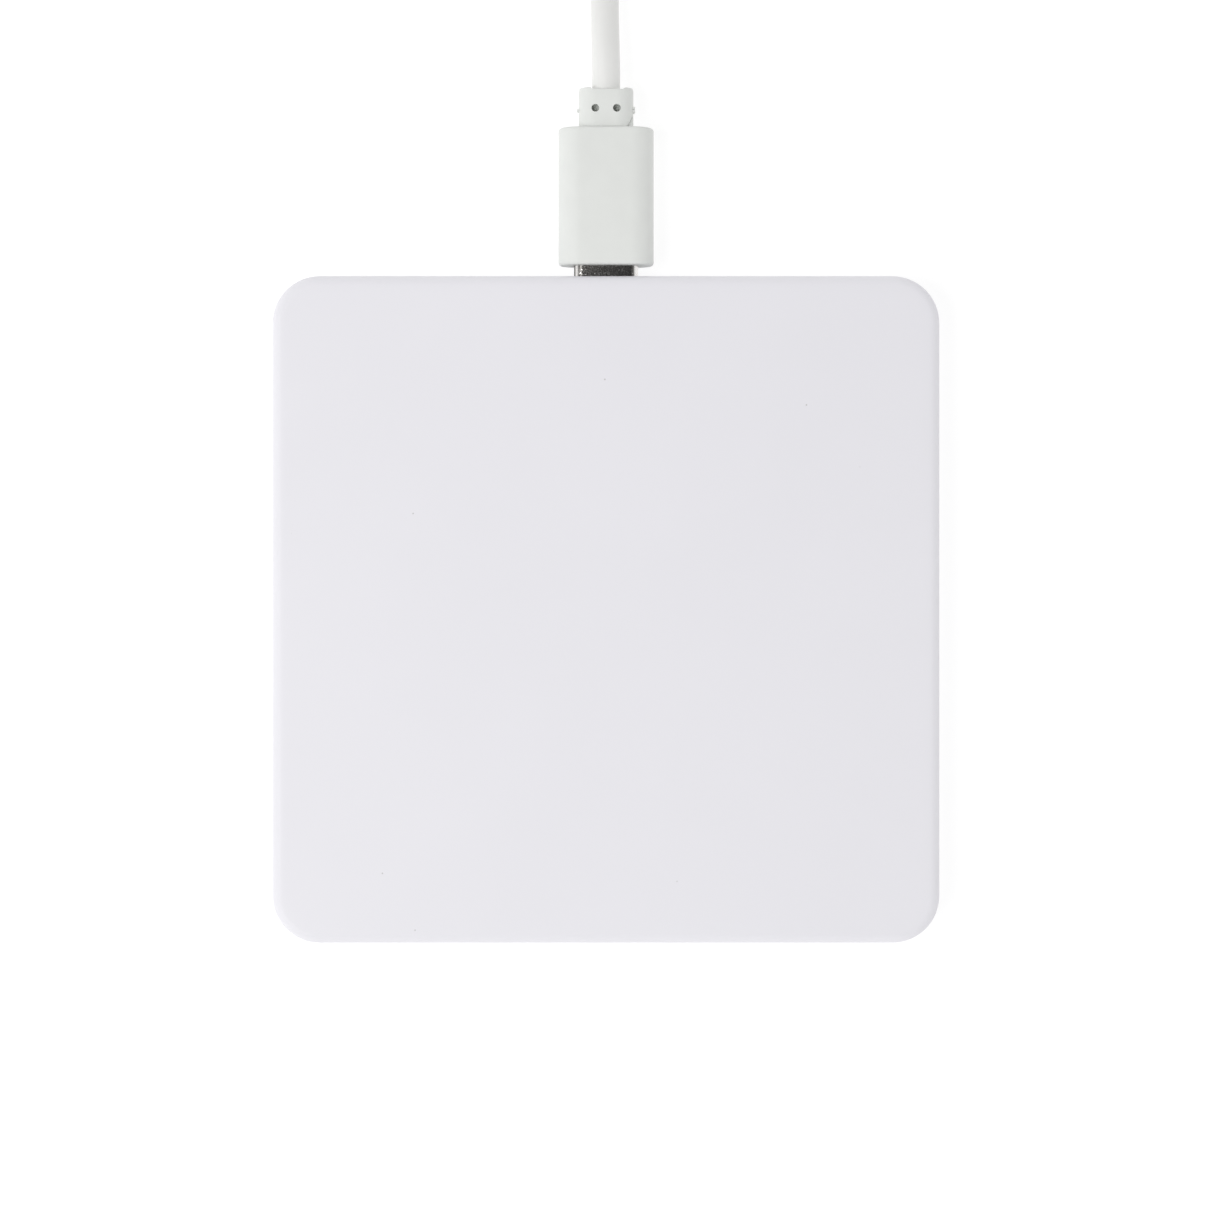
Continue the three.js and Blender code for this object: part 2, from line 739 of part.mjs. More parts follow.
// Strap round the bundle of turns on the coil's -X side.
function makeTie() {
  const nearSide = Math.sqrt(coilInner ** 2 - (tieWidth / 2) ** 2) - tieSlack;
  const farSide = coilOuter + tieSlack;
  const innerWidth = farSide - nearSide;
  const top = coilHeight + coilLiftAtTie;
  const outerHeight = top + tieThickness;
  const innerHeight = outerHeight - 2 * tieThickness;
  const middleX = coilCentreX - (farSide + nearSide) / 2;
  const y0 = coilCentreY - tieWidth / 2;
  const y1 = coilCentreY + tieWidth / 2;
  const z = outerHeight / 2;
  const outside = barY(innerWidth + 2 * tieThickness, outerHeight, tieCorner + tieThickness, y0, y1, middleX, z);
  const inside = barY(innerWidth, innerHeight, tieCorner, y0 - cutMargin, y1 + cutMargin, middleX, z);
  return cut(outside, inside);
}

// ---------------------------------------------------------------- type A plug

function makeFarRelief() {
  const profile = [[0, 0], [farReliefSmallRadius, 0]];
  const pitch = farReliefLength / (farReliefGrooves + 1);
  for (let groove = 1; groove <= farReliefGrooves; groove += 1) {
    const along = groove * pitch;
    const taper = (farReliefLargeRadius - farReliefSmallRadius) * along / farReliefLength;
    const radius = farReliefSmallRadius + taper;
    profile.push([radius, along - pitch / 4]);
    profile.push([radius - farReliefGrooveDepth, along - pitch / 8]);
    profile.push([radius - farReliefGrooveDepth, along + pitch / 8]);
    profile.push([radius, along + pitch / 4]);
  }
  profile.push([farReliefLargeRadius, farReliefLength], [0, farReliefLength]);
  const relief = turned(profile, holeSides).rotate([-90, 0, 0]);
  return relief.translate([farPlugX, farReliefStart, farZ]);
}

function makeFarHousing() {
  const body = filletedBarY(farHousingWidth, farHousingHeight, farHousingCorner, farHousingEdge,
    farHousingStart, farHousingFront, farPlugX, farZ);
  const hole = barY(farShellWidth + 2 * mouldingGap, farShellHeight + 2 * mouldingGap,
    farShellCorner, farShellRear, farHousingFront + cutMargin, farPlugX, farZ);
  return cut(body, hole);
}

function makeFarShell() {
  const innerWidth = farShellWidth - 2 * farShellWall;
  const innerHeight = farShellHeight - 2 * farShellWall;
  const outside = barY(farShellWidth, farShellHeight, farShellCorner, farShellRear, farTip, farPlugX, farZ);
  const inside = barY(innerWidth, innerHeight, farShellCorner / 2,
    farShellRear - cutMargin, farTip + cutMargin, farPlugX, farZ);
  const windowY = farTip - farWindowFromTip;
  const windows = [-farWindowSpacing / 2, farWindowSpacing / 2].map((x) => (
    box(farPlugX + x - farWindowWidth / 2, farPlugX + x + farWindowWidth / 2,
      windowY - farWindowLength / 2, windowY + farWindowLength / 2, 0, farHousingHeight)));
  return cut(outside, inside, ...windows);
}

const farInsulatorBottom = farZ - farShellHeight / 2 + farShellWall + farInsulatorClearance;
const farInsulatorTop = farInsulatorBottom + farInsulatorThickness;

function makeFarInsulator() {
  const halfWidth = farShellWidth / 2 - farShellWall - farInsulatorClearance;
  return box(farPlugX - halfWidth, farPlugX + halfWidth, farShellRear, farTip - farInsulatorSetback,
    farInsulatorBottom, farInsulatorTop);
}

function makeFarContact(x) {
  const front = farTip - 2 * farInsulatorSetback;
  return box(farPlugX + x - farContactWidth / 2, farPlugX + x + farContactWidth / 2,
    front - farContactLength, front, farInsulatorTop, farInsulatorTop + farContactThickness);
}

// ---------------------------------------------------------------- assembly

const chargingPad = new THREE.Group();

function addPiece(name, solid, material) {
  const mesh = new THREE.Mesh(toGeometry(solid), material());
  mesh.name = name;
  chargingPad.add(mesh);
}

function addPadHousing() {
  addPiece('top_cover', makeTopCover(), whiteAbs);
  addPiece('bottom_cover', makeBottomCover(), whiteAbs);
  corners.forEach(([x, y], i) => {
    addPiece(`foot_${i + 1}`, makeFoot(x, y), greyRubber);
    addPiece(`cover_screw_${i + 1}`, makeScrew(x, y), zincScrew);
  });
}

function addElectronics() {
  const rowY = boardDepth / 2 - boardEdgeGap - controllerSize / 2;
  const columnX = ferriteSize / 2 + partSpacing + resonanceCapLength / 2;
  addPiece('circuit_board', makeBoard(), greenLaminate);
  addPiece('usb_socket_shell', makeSocketShell(), brightSteel);
  addPiece('usb_socket_tongue', makeSocketTongue(), blackNylon);
  const chipX = 2 * controllerSize + partSpacing;
  const controller = makeChipPart(-chipX, rowY, controllerSize, controllerSize, boardTop, chipHeight);
  const bridge = makeChipPart(chipX, rowY, bridgeSize, bridgeSize, boardTop, chipHeight);
  addPiece('controller_chip', controller, blackEpoxy);
  addPiece('bridge_chip', bridge, blackEpoxy);
  addPiece('inductor', makeInductor(-columnX - inductorShift, 0), darkFerrite);
  for (let i = 0; i < resonanceCapCount; i += 1) {
    const y = (i - (resonanceCapCount - 1) / 2) * resonanceCapPitch;
    const capacitor = makeChipPart(columnX, y, resonanceCapLength, resonanceCapWidth, boardTop, resonanceCapHeight);
    addPiece(`resonance_capacitor_${i + 1}`, capacitor, tanCeramic);
  }
  const inputX = socketWidth / 2 + partSpacing + inputCapWidth / 2;
  const inputY = socketRear + inputCapLength / 2;
  [-inputX, inputX].forEach((x, i) => {
    const capacitor = makeChipPart(x, inputY, inputCapWidth, inputCapLength, boardTop, inputCapHeight);
    addPiece(`input_capacitor_${i + 1}`, capacitor, tanCeramic);
  });
  addPiece('thermistor', makeChipPart(0, 0, thermistorLength, thermistorWidth, ferriteTop, thermistorWidth),
    blackEpoxy);
  addPiece('status_led', makeLed(), clearAcrylic);
  addPiece('light_pipe', makeLightPipe(), clearAcrylic);
}

function addCoilStack() {
  addPiece('ferrite_sheet', makeFerrite(), darkFerrite);
  addPiece('transmitter_coil', makeWinding(), enamelledCopper);
  addPiece('coil_lead_inner', makeInnerLead(), enamelledCopper);
  addPiece('coil_lead_outer', makeOuterLead(), enamelledCopper);
  addPiece('foam_ring', makeFoam(), whiteFoam);
}

function addPlug() {
  addPiece('plug_shell', makePlugShell(), darkSteel);
  addPiece('plug_contact_carrier', makeContactCarrier(), blackNylon);
  addPiece('plug_board', makePlugBoard(), greenLaminate);
  addPiece('plug_housing', makePlugHousing(), whiteTpe);
  addPiece('plug_strain_relief', makeStrainRelief(), whiteTpe);
}

function addCord() {
  addPiece('cord_lead', makeCordLead(), whiteTpe);
  addPiece('cord_coil', makeCordCoil(), whiteTpe);
  addPiece('cord_tail', makeCordTail(), whiteTpe);
  addPiece('cord_tie', makeTie(), greyStrap);
}

function addFarPlug() {
  addPiece('far_plug_strain_relief', makeFarRelief(), whiteTpe);
  addPiece('far_plug_housing', makeFarHousing(), whiteTpe);
  addPiece('far_plug_shell', makeFarShell(), brightSteel);
  addPiece('far_plug_insulator', makeFarInsulator(), blackNylon);
  farContactCentres.forEach((x, i) => addPiece(`far_plug_contact_${i + 1}`, makeFarContact(x), goldPlate));
}

addPadHousing();
addElectronics();
addCoilStack();
addPlug();
addCord();
addFarPlug();

export default chargingPad;
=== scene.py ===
"""Square wireless charging pad with its USB lead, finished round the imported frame."""

import json
import math
from collections import namedtuple

import bmesh
import bpy
from mathutils import Matrix, Vector


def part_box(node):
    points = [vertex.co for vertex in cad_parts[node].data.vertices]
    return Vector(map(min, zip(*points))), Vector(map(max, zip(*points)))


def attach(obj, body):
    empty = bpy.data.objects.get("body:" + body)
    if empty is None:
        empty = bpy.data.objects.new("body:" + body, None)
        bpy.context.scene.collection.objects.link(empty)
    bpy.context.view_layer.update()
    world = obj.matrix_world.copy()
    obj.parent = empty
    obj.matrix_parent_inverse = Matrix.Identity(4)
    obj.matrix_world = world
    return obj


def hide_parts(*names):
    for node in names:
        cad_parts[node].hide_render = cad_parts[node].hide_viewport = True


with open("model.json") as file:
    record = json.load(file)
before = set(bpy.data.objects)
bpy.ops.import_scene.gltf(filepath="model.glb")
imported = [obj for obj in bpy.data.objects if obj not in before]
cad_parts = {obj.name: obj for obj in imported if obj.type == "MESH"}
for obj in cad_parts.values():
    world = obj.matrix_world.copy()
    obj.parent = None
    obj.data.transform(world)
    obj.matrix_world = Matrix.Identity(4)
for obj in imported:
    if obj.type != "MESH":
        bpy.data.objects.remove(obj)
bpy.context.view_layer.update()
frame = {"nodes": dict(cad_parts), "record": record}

bl_info = {
    "name": "Wireless Charging Pad",
    "version": (1, 0, 0),
    "blender": (4, 5, 0),
    "location": "3D View > Sidebar > Charging Pad",
    "description": "Models a square charging pad with its plug, cord and studio",
    "category": "Object",
}

MM = 0.001
X, Y, Z = 0, 1, 2
TOUCH = 0.01 * MM  # what lies this near a plane is in it
GAP = 0.05 * MM  # clearance between moulded pieces
PAST = 1 * MM  # how far a cutting tool sticks out of what it cuts

Extent = namedtuple("Extent", "low high middle")


def linear(hex_colour):
    """Turn an sRGB hex colour such as #E5E4E9 into linear RGBA."""
    channels = [int(hex_colour[i:i + 2], 16) / 255 for i in (1, 3, 5)]
    light = [c / 12.92 if c <= 0.04045 else ((c + 0.055) / 1.055) ** 2.4 for c in channels]
    return (*light, 1.0)


def size_of(node):
    """A CAD node's lowest corner, highest corner and middle."""
    low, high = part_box(node)
    return Extent(low, high, (low + high) / 2)


# ---------------------------------------------------------------- settings

def length_prop(name, millimetres, description):
    return bpy.props.FloatProperty(
        name=name, description=description, default=millimetres * MM, min=0, precision=5,
        subtype="DISTANCE", unit="LENGTH")


def colour_prop(name, hex_colour, description):
    return bpy.props.FloatVectorProperty(
        name=name, description=description, default=linear(hex_colour), size=4, min=0, max=1,
        subtype="COLOR")


def amount_prop(name, value, description):
    return bpy.props.FloatProperty(name=name, description=description, default=value, min=0)


class ChargingPadStudioSettings(bpy.types.PropertyGroup):
    """Where the camera stands and how bright the studio is."""

    camera_right: length_prop("Camera Right", 0.115, "How far right of the pad's middle the camera is")
    camera_forward: length_prop("Camera Forward", 0.306, "How far towards the plug the camera is")
    camera_height: length_prop("Camera Height", 458.2, "Height of the camera over the table")
    view_width: length_prop("View Width", 154.4, "Width that the camera sees at the charging face")
    key_power: amount_prop("Key Power", 3.27, "Watts of the soft light at the left")
    surround: amount_prop("Surround", 0.86, "Brightness of the studio's walls")
    ceiling: amount_prop("Ceiling", 0.1, "Brightness of the dark ceiling straight above the table")
    table_glow: amount_prop("Table Glow", 0.78, "How much the white table is lit from within")
    table_colour: colour_prop("Table", "#959595", "Colour of the table's surface")


class ChargingPadCoverSettings(bpy.types.PropertyGroup):
    """The two halves of the pad's housing."""

    corner: length_prop("Corner Radius", 6, "Radius of the pad's four corners seen from above")
    top_edge: length_prop("Top Edge Radius", 1.25, "Rounding of the edge round the charging face")
    bottom_edge: length_prop("Bottom Edge Radius", 0.6, "Rounding of the edge under the pad")
    parting_edge: length_prop("Parting Edge", 0.12, "Softened edge of each half where the two meet")
    wall: length_prop("Side Wall", 1.6, "Thickness of the top cover's sides")
    lip_wall: length_prop("Lip Wall", 1, "Thickness of the bottom cover's raised lip")
    colour: colour_prop("Pad", "#E8E7EC", "Colour of the pad's white plastic")
    foot_colour: colour_prop("Feet", "#B9BABD", "Colour of the rubber feet")


class ChargingPadPlugSettings(bpy.types.PropertyGroup):
    """The plug that goes into the pad, and the one at the cord's other end."""

    body_corner: length_prop("Body Corner", 2.9, "Rounding of the plug body's long edges")
    body_edge: length_prop("Body End Edge", 0.4, "Rounding of the plug body's two ends")
    shell_wall: length_prop("Shell Wall", 0.25, "Thickness of the plug's metal shell")
    far_corner: length_prop("Far Body Corner", 2.6, "Rounding of the far plug's long edges")
    far_edge: length_prop("Far Body End Edge", 0.7, "Rounding of the far plug's two ends")
    far_wall: length_prop("Far Shell Wall", 0.3, "Thickness of the far plug's metal shell")
    colour: colour_prop("Plug Body", "#E2E4E1", "Colour of the moulded plug bodies")
    shell_colour: colour_prop("Plug Shell", "#7E7C79", "Colour of the plug's plated shell")


class ChargingPadCordSettings(bpy.types.PropertyGroup):
    """The cord and the strap that holds its coil."""

    length: length_prop("Cord Length", 1000, "Length of the cord from plug to plug")
    diameter: length_prop("Cord Diameter", 3.6, "Diameter of the cord's jacket")
    strap_thickness: length_prop("Strap Thickness", 0.8, "Thickness of the strap round the coil")
    strap_bend: length_prop("Strap Bend", 3, "Radius of the strap's four bends")
    colour: colour_prop("Cord", "#E9E9E7", "Colour of the cord's jacket")
    strap_colour: colour_prop("Strap", "#C9CACC", "Colour of the strap")


# ---------------------------------------------------------------- working by hand

def select_only(piece):
    bpy.ops.object.select_all(action="DESELECT")
    piece.select_set(True)
    bpy.context.view_layer.objects.active = piece


def edit(piece):
    select_only(piece)
    bpy.ops.object.mode_set(mode="EDIT")


def stop_editing():
    bpy.ops.object.mode_set(mode="OBJECT")


def place_in_mesh(name):
    """Name the primitive just added and move its place, turn and size into its mesh."""
    bpy.ops.object.transform_apply(location=True, rotation=True, scale=True)
    piece = bpy.context.object
    piece.name = name
    piece.data.name = name
    return piece


def start_block(name, low, high):
    bpy.ops.object.select_all(action="DESELECT")
    low, high = Vector(low), Vector(high)
    bpy.ops.mesh.primitive_cube_add(size=1, location=(low + high) / 2, scale=high - low)
    return place_in_mesh(name)


def start_rod(name, centre, radius, length, axis=Z, sides=48):
    quarter = math.pi / 2
    turn = {X: (0, quarter, 0), Y: (-quarter, 0, 0), Z: (0, 0, 0)}[axis]
    bpy.ops.object.select_all(action="DESELECT")
    bpy.ops.mesh.primitive_cylinder_add(
        vertices=sides, radius=radius, depth=length, location=centre, rotation=turn)
    return place_in_mesh(name)


def pick(kind, test):
    """In edit mode, select only the edges or the faces that pass the test."""
    bpy.ops.mesh.select_mode(type=kind)
    bpy.ops.mesh.select_all(action="DESELECT")
    data = bpy.context.object.data
    mesh = bmesh.from_edit_mesh(data)
    for part in mesh.edges if kind == "EDGE" else mesh.faces:
        if test(part):
            part.select_set(True)
    bmesh.update_edit_mesh(data)


def along(axis):
    return lambda edge: abs((edge.verts[1].co - edge.verts[0].co).normalized()[axis]) > 0.999


def in_plane(axis, place):
    return lambda part: all(abs(corner.co[axis] - place) < TOUCH for corner in part.verts)


def round_off(radius, segments):
    bpy.ops.mesh.bevel(offset=radius, segments=segments, affect="EDGES", clamp_overlap=False)


def inset(width):
    bpy.ops.mesh.inset(thickness=width, depth=0)


def push(x=0.0, y=0.0, z=0.0):
    bpy.ops.mesh.extrude_region_move(TRANSFORM_OT_translate={"value": (x, y, z)})


def round_edges(piece, test, radius, segments):
    """Round the edges that pass the test."""
    edit(piece)
    pick("EDGE", test)
    round_off(radius, segments)
    stop_editing()


def round_end(piece, axis, place, radius, segments=4):
    """Round the rim of the end face that lies in one plane."""
    round_edges(piece, in_plane(axis, place), radius, segments)


def rounded_bar(name, low, high, radius, axis=Y, segments=10):
    """A block with the four edges along one axis rounded."""
    bar = start_block(name, low, high)
    round_edges(bar, along(axis), radius, segments)
    return bar


def oval_radius(low, high):
    """Radius for the round sides of a flat oval bar, just short of half its height."""
    return (high.z - low.z) / 2 - 0.05 * MM


def use_modifier(piece, kind, **settings):
    select_only(piece)
    bpy.ops.object.modifier_add(type=kind)
    modifier = piece.modifiers[-1]
    for name, value in settings.items():
        setattr(modifier, name, value)
    bpy.ops.object.modifier_apply(modifier=modifier.name)


def combine(piece, operation, *tools):
    """Join each tool to the piece, cut it away or keep what they share; the tools are used up."""
    for tool in tools:
        use_modifier(piece, "BOOLEAN", operation=operation, solver="EXACT", object=tool)
        bpy.data.objects.remove(tool, do_unlink=True)


def open_tube(piece, wall):
    """Take the two end faces away and give what is left a wall on its inside."""
    low, high = Vector(piece.bound_box[0]), Vector(piece.bound_box[6])
    edit(piece)
    for place in (low.y, high.y):
        pick("FACE", in_plane(Y, place))
        bpy.ops.mesh.delete(type="FACE")
    stop_editing()
    use_modifier(piece, "SOLIDIFY", thickness=wall, offset=-1, use_even_offset=True)


def finish_piece(piece, body, slot, *nodes, smooth=35):
    """Clean the mesh, shade it, give it its finish and hang it on its body."""
    edit(piece)
    bpy.ops.mesh.select_all(action="SELECT")
    bpy.ops.mesh.remove_doubles(threshold=TOUCH / 10)
    bpy.ops.mesh.normals_make_consistent(inside=False)
    stop_editing()
    bpy.ops.object.shade_smooth_by_angle(angle=math.radians(smooth))
    give_finish(piece, slot)
    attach(piece, body)
    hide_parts(*nodes)


# ---------------------------------------------------------------- finishes

MIX_FACTOR, MIX_FIRST, MIX_SECOND, MIX_RESULT = 0, 6, 7, 2
WHITE = (1, 1, 1, 1)


def add_node(tree, kind, settings=(), inputs=()):
    """Add a node, give it its settings, then set or link its inputs."""
    node = tree.nodes.new(kind)
    for name, value in dict(settings).items():
        setattr(node, name, value)
    for name, value in dict(inputs).items():
        if isinstance(value, bpy.types.NodeSocket):
            tree.links.new(value, node.inputs[name])
        else:
            node.inputs[name].default_value = value
    return node


def spread(tree, value, low, high, from_low=0.3, from_high=0.7):
    """Stretch a value from one range to another."""
    return add_node(tree, "ShaderNodeMapRange", inputs={
        "Value": value, "From Min": from_low, "From Max": from_high,
        "To Min": low, "To Max": high}).outputs["Result"]


def shade(colour, factor):
    return (*[channel * factor for channel in colour[:3]], 1.0)


class Finish:
    """A material in the making: its nodes, its shader and the piece's own Object coordinates."""

    def __init__(self, name, colour, roughness, metallic=0.0, **fixed):
        self.material = bpy.data.materials.new(name)
        self.material.use_nodes = True
        self.material.diffuse_color = colour
        self.colour = colour
        self.tree = self.material.node_tree
        self.shader = next(node for node in self.tree.nodes if node.type == "BSDF_PRINCIPLED")
        constants = {"Base Color": colour, "Roughness": roughness, "Metallic": metallic, **fixed}
        for socket, value in constants.items():
            self.shader.inputs[socket.replace("_", " ")].default_value = value
        self.place = self.node("ShaderNodeTexCoord", "Object")

    def node(self, kind, output, settings=(), inputs=()):
        return add_node(self.tree, kind, settings, inputs).outputs[output]

    def noise(self, size, detail=2.0, stretch=None):
        """Noise with features about the given size across, longer where stretch is under 1."""
        place = self.place
        if stretch:
            place = self.node("ShaderNodeMapping", "Vector", inputs={"Vector": place, "Scale": stretch})
        return self.node("ShaderNodeTexNoise", "Fac", inputs={
            "Vector": place, "Scale": 1 / size, "Detail": detail})

    def cells(self, size):
        """Distance from the heart of the nearest of many small cells."""
        return self.node("ShaderNodeTexVoronoi", "Distance", inputs={
            "Vector": self.place, "Scale": 1 / size})

    def calculate(self, operation, *values):
        return self.node("ShaderNodeMath", 0, {"operation": operation}, enumerate(values))

    def mix(self, factor, first, second):
        return self.node("ShaderNodeMix", MIX_RESULT, {"data_type": "RGBA"}, {
            MIX_FACTOR: factor, MIX_FIRST: first, MIX_SECOND: second})

    def tint(self, factor, first, second):
        """Mix the surface's colour from two by a pattern."""
        self.tree.links.new(self.mix(factor, first, second), self.shader.inputs["Base Color"])

    def mottle(self, pattern, dark, light):
        """Let a pattern darken and lighten the surface's colour between two factors."""
        amount = spread(self.tree, pattern, 0, 1)
        self.tint(amount, shade(self.colour, dark), shade(self.colour, light))

    def roughen(self, pattern, low, high, *stretch):
        """Let a pattern vary the roughness between two values."""
        amount = spread(self.tree, pattern, low, high, *stretch)
        self.tree.links.new(amount, self.shader.inputs["Roughness"])

    def relief(self, height, depth, strength=1.0):
        """Raise the surface by a height pattern, in metres."""
        raised = self.node("ShaderNodeBump", "Normal", inputs={
            "Height": height, "Distance": depth, "Strength": strength})
        self.tree.links.new(raised, self.shader.inputs["Normal"])


def moulded_abs(name, colour):
    """White ABS from a spark-eroded mould: an even satin skin with a grain too fine to feel,
    faint clouding from the melt's flow, and a stray dark speck in the resin here and there."""
    plastic = Finish(name, colour, 0.5, IOR=1.53)
    cloud = spread(plastic.tree, plastic.noise(16 * MM), 0, 1)
    skin = plastic.mix(cloud, shade(colour, 0.993), shade(colour, 1.005))
    speck_spacing, speck_radius = 7.2 * MM, 0.14 * MM
    edge = speck_radius / speck_spacing
    speck = spread(plastic.tree, plastic.cells(speck_spacing), 0.4, 0, edge * 0.5, edge)
    plastic.tint(speck, skin, linear("#77705F"))
    grain = plastic.noise(0.22 * MM, 1.0)
    plastic.roughen(grain, 0.46, 0.56)
    plastic.relief(grain, 0.01 * MM, 0.6)
    return plastic.material


def moulded_tpe(name, colour):
    """TPE overmoulding, a soft rubbery plastic: duller than the pad, a little warmer, with a
    finely pitted skin that keeps highlights wide."""
    plastic = Finish(name, colour, 0.58, IOR=1.5)
    plastic.mottle(plastic.noise(3 * MM), 0.985, 1.01)
    grain = plastic.noise(0.18 * MM)
    plastic.roughen(grain, 0.54, 0.66)
    plastic.relief(grain, 0.012 * MM, 0.7)
    return plastic.material


def extruded_jacket(name, colour):
    """TPE jacket drawn through a die: smooth satin with slow waves in its thickness."""
    jacket = Finish(name, colour, 0.45, IOR=1.5)
    jacket.mottle(jacket.noise(6 * MM), 0.98, 1.01)
    waves = jacket.noise(1.2 * MM, 3.0)
    jacket.roughen(waves, 0.4, 0.52)
    jacket.relief(waves, 0.03 * MM, 0.5)
    return jacket.material


def silicone_rubber(name, colour):
    """Pressed silicone rubber: dull, a bit dusty, with a fine even grain."""
    rubber = Finish(name, colour, 0.75, IOR=1.41)
    rubber.mottle(rubber.noise(0.8 * MM, 4.0), 0.93, 1.03)
    rubber.relief(rubber.noise(0.15 * MM), 0.01 * MM)
    return rubber.material


def tumbled_nickel(name, colour):
    """Dark nickel over stamped steel, barrel finished: tiny dents in a dark skin catch light through
    their bump and roughness, and bright flecks are painted into its colour as painted sparkle. The two
    round sides are painted bright, a painted reflection, but for a painted shade line along the left
    one. Real dents are a few hundredths of a millimetre; they are drawn 0.22 mm wide so that they show."""
    metal = Finish(name, colour, 0.25, 1.0)
    dent_size = 0.22 * MM
    grain = metal.noise(dent_size, 3.0)
    # Bright flecks painted into the colour here are painted sparkle; the dents' bump and lower
    # roughness add the real part.
    painted_sparkle = spread(metal.tree, grain, 0, 1, 0.54, 0.68)
    skin = metal.mix(painted_sparkle, shade(colour, 0.62), linear("#D0CECB"))
    across = metal.node("ShaderNodeSeparateXYZ", "X", inputs={"Vector": metal.place})
    aside = metal.calculate("ABSOLUTE", across)
    # Beyond 3.5 mm from the middle the round sides are painted bright: a painted reflection of the
    # bright surround.
    painted_side_reflection = spread(metal.tree, aside, 0, 1, 3.5 * MM, 3.68 * MM)
    sides = metal.mix(painted_side_reflection, skin, linear("#EFEDEA"))
    # A thin line at the left side's outer edge is painted dark: painted shade.
    painted_shade_line = spread(metal.tree, across, 1, 0, -3.94 * MM, -3.88 * MM)
    metal.tint(painted_shade_line, sides, linear("#6E6C6A"))
    metal.roughen(grain, 0.34, 0.2)
    metal.relief(metal.cells(dent_size), 0.05 * MM, 0.2)
    return metal.material


def bright_nickel(name, colour):
    """Bright nickel over drawn steel: clean reflections, pulled a little along the draw."""
    metal = Finish(name, colour, 0.24, 1.0)
    lines = metal.noise(0.12 * MM, 3.0, (1.0, 0.08, 1.0))
    metal.mottle(lines, 0.9, 1.04)
    metal.roughen(lines, 0.18, 0.32)
    metal.relief(lines, 0.004 * MM, 0.6)
    return metal.material


def gold_plating(name, colour):
    """Thin hard gold over nickel on stamped contacts: warm, slightly uneven gloss."""
    metal = Finish(name, colour, 0.28, 1.0)
    wear = metal.noise(0.6 * MM, 3.0)
    metal.mottle(wear, 0.86, 1.05)
    metal.roughen(wear, 0.22, 0.36)
    return metal.material


def moulded_nylon(name, colour):
    """Glass-filled nylon: dark and dull, with short fibres just under the skin."""
    plastic = Finish(name, colour, 0.55, IOR=1.53)
    flecks = plastic.noise(0.15 * MM, 4.0, (1.0, 0.25, 1.0))
    plastic.tint(spread(plastic.tree, flecks, 0, 1, 0.55, 0.75), colour, shade(colour, 2.2))
    plastic.relief(flecks, 0.01 * MM)
    return plastic.material


def clear_acrylic(name, colour):
    """Moulded acrylic with a frosted skin: it lets light through and blurs what is behind it."""
    plastic = Finish(name, colour, 0.3, IOR=1.49, Transmission_Weight=0.6)
    plastic.roughen(plastic.noise(0.4 * MM), 0.22, 0.42)
    return plastic.material


def solder_mask(name, colour):
    """Green solder mask over glass laminate: glossy lacquer that shows the copper tracks under it
    as raised paler lines and the glass weave as a faint mottling."""
    board = Finish(name, colour, 0.35, IOR=1.52)
    tracks = add_node(board.tree, "ShaderNodeTexBrick", {"offset": 0.5}, {
        "Vector": board.place, "Scale": 1 / (4 * MM), "Mortar Size": 0.06, "Mortar Smooth": 0.1,
        "Color1": colour, "Color2": shade(colour, 0.92), "Mortar": shade(colour, 1.6)})
    weave = spread(board.tree, board.noise(0.5 * MM, 1.0), 0, 0.25)
    board.tint(weave, tracks.outputs["Color"], shade(colour, 0.7))
    board.relief(tracks.outputs["Fac"], 0.03 * MM)
    return board.material


def moulded_epoxy(name, colour):
    """Transfer moulded epoxy of chip packages: black, finely sanded by the mould."""
    epoxy = Finish(name, colour, 0.5, IOR=1.55)
    sand = epoxy.noise(0.1 * MM, 3.0)
    epoxy.mottle(sand, 0.8, 1.4)
    epoxy.relief(sand, 0.01 * MM)
    return epoxy.material


def sintered_ferrite(name, colour):
    """Pressed and sintered ferrite: charcoal, dry, with a slightly crystalline glitter."""
    ferrite = Finish(name, colour, 0.7, IOR=2.0)
    ferrite.mottle(ferrite.noise(1.5 * MM, 4.0), 0.75, 1.35)
    ferrite.roughen(ferrite.cells(0.3 * MM), 0.5, 0.85, 0, 0.6)
    return ferrite.material


def enamelled_copper(name, colour):
    """Copper strands under clear enamel: warm metal with fine lines where strands lie together."""
    wire = Finish(name, colour, 0.35, 0.9)
    lines = wire.noise(0.25 * MM, stretch=(1.0, 1.0, 3.0))
    wire.mottle(lines, 0.7, 1.15)
    wire.relief(lines, 0.02 * MM)
    return wire.material


def closed_cell_foam(name, colour):
    """Closed-cell foam cut from sheet: matte, with tiny bubbles open on the cut."""
    foam = Finish(name, colour, 0.9, IOR=1.45)
    bubbles = foam.cells(0.35 * MM)
    # Each open bubble is painted darker towards its middle: painted shade in its hollow.
    foam.tint(spread(foam.tree, bubbles, 0, 1, 0, 0.5), shade(colour, 0.8), colour)
    foam.relief(bubbles, 0.08 * MM)
    return foam.material


def fired_ceramic(name, colour):
    """Fired capacitor ceramic: tan, smooth, with faint layers."""
    ceramic = Finish(name, colour, 0.45, IOR=1.9)
    ceramic.mottle(ceramic.noise(0.5 * MM, stretch=(0.2, 0.2, 3.0)), 0.88, 1.08)
    return ceramic.material


def zinc_plating(name, colour):
    """Bright zinc on a cold-headed screw: pale metal with a milky bloom."""
    metal = Finish(name, colour, 0.4, 1.0)
    bloom = metal.noise(0.5 * MM, 3.0)
    metal.mottle(bloom, 0.85, 1.08)
    metal.roughen(bloom, 0.32, 0.5)
    return metal.material


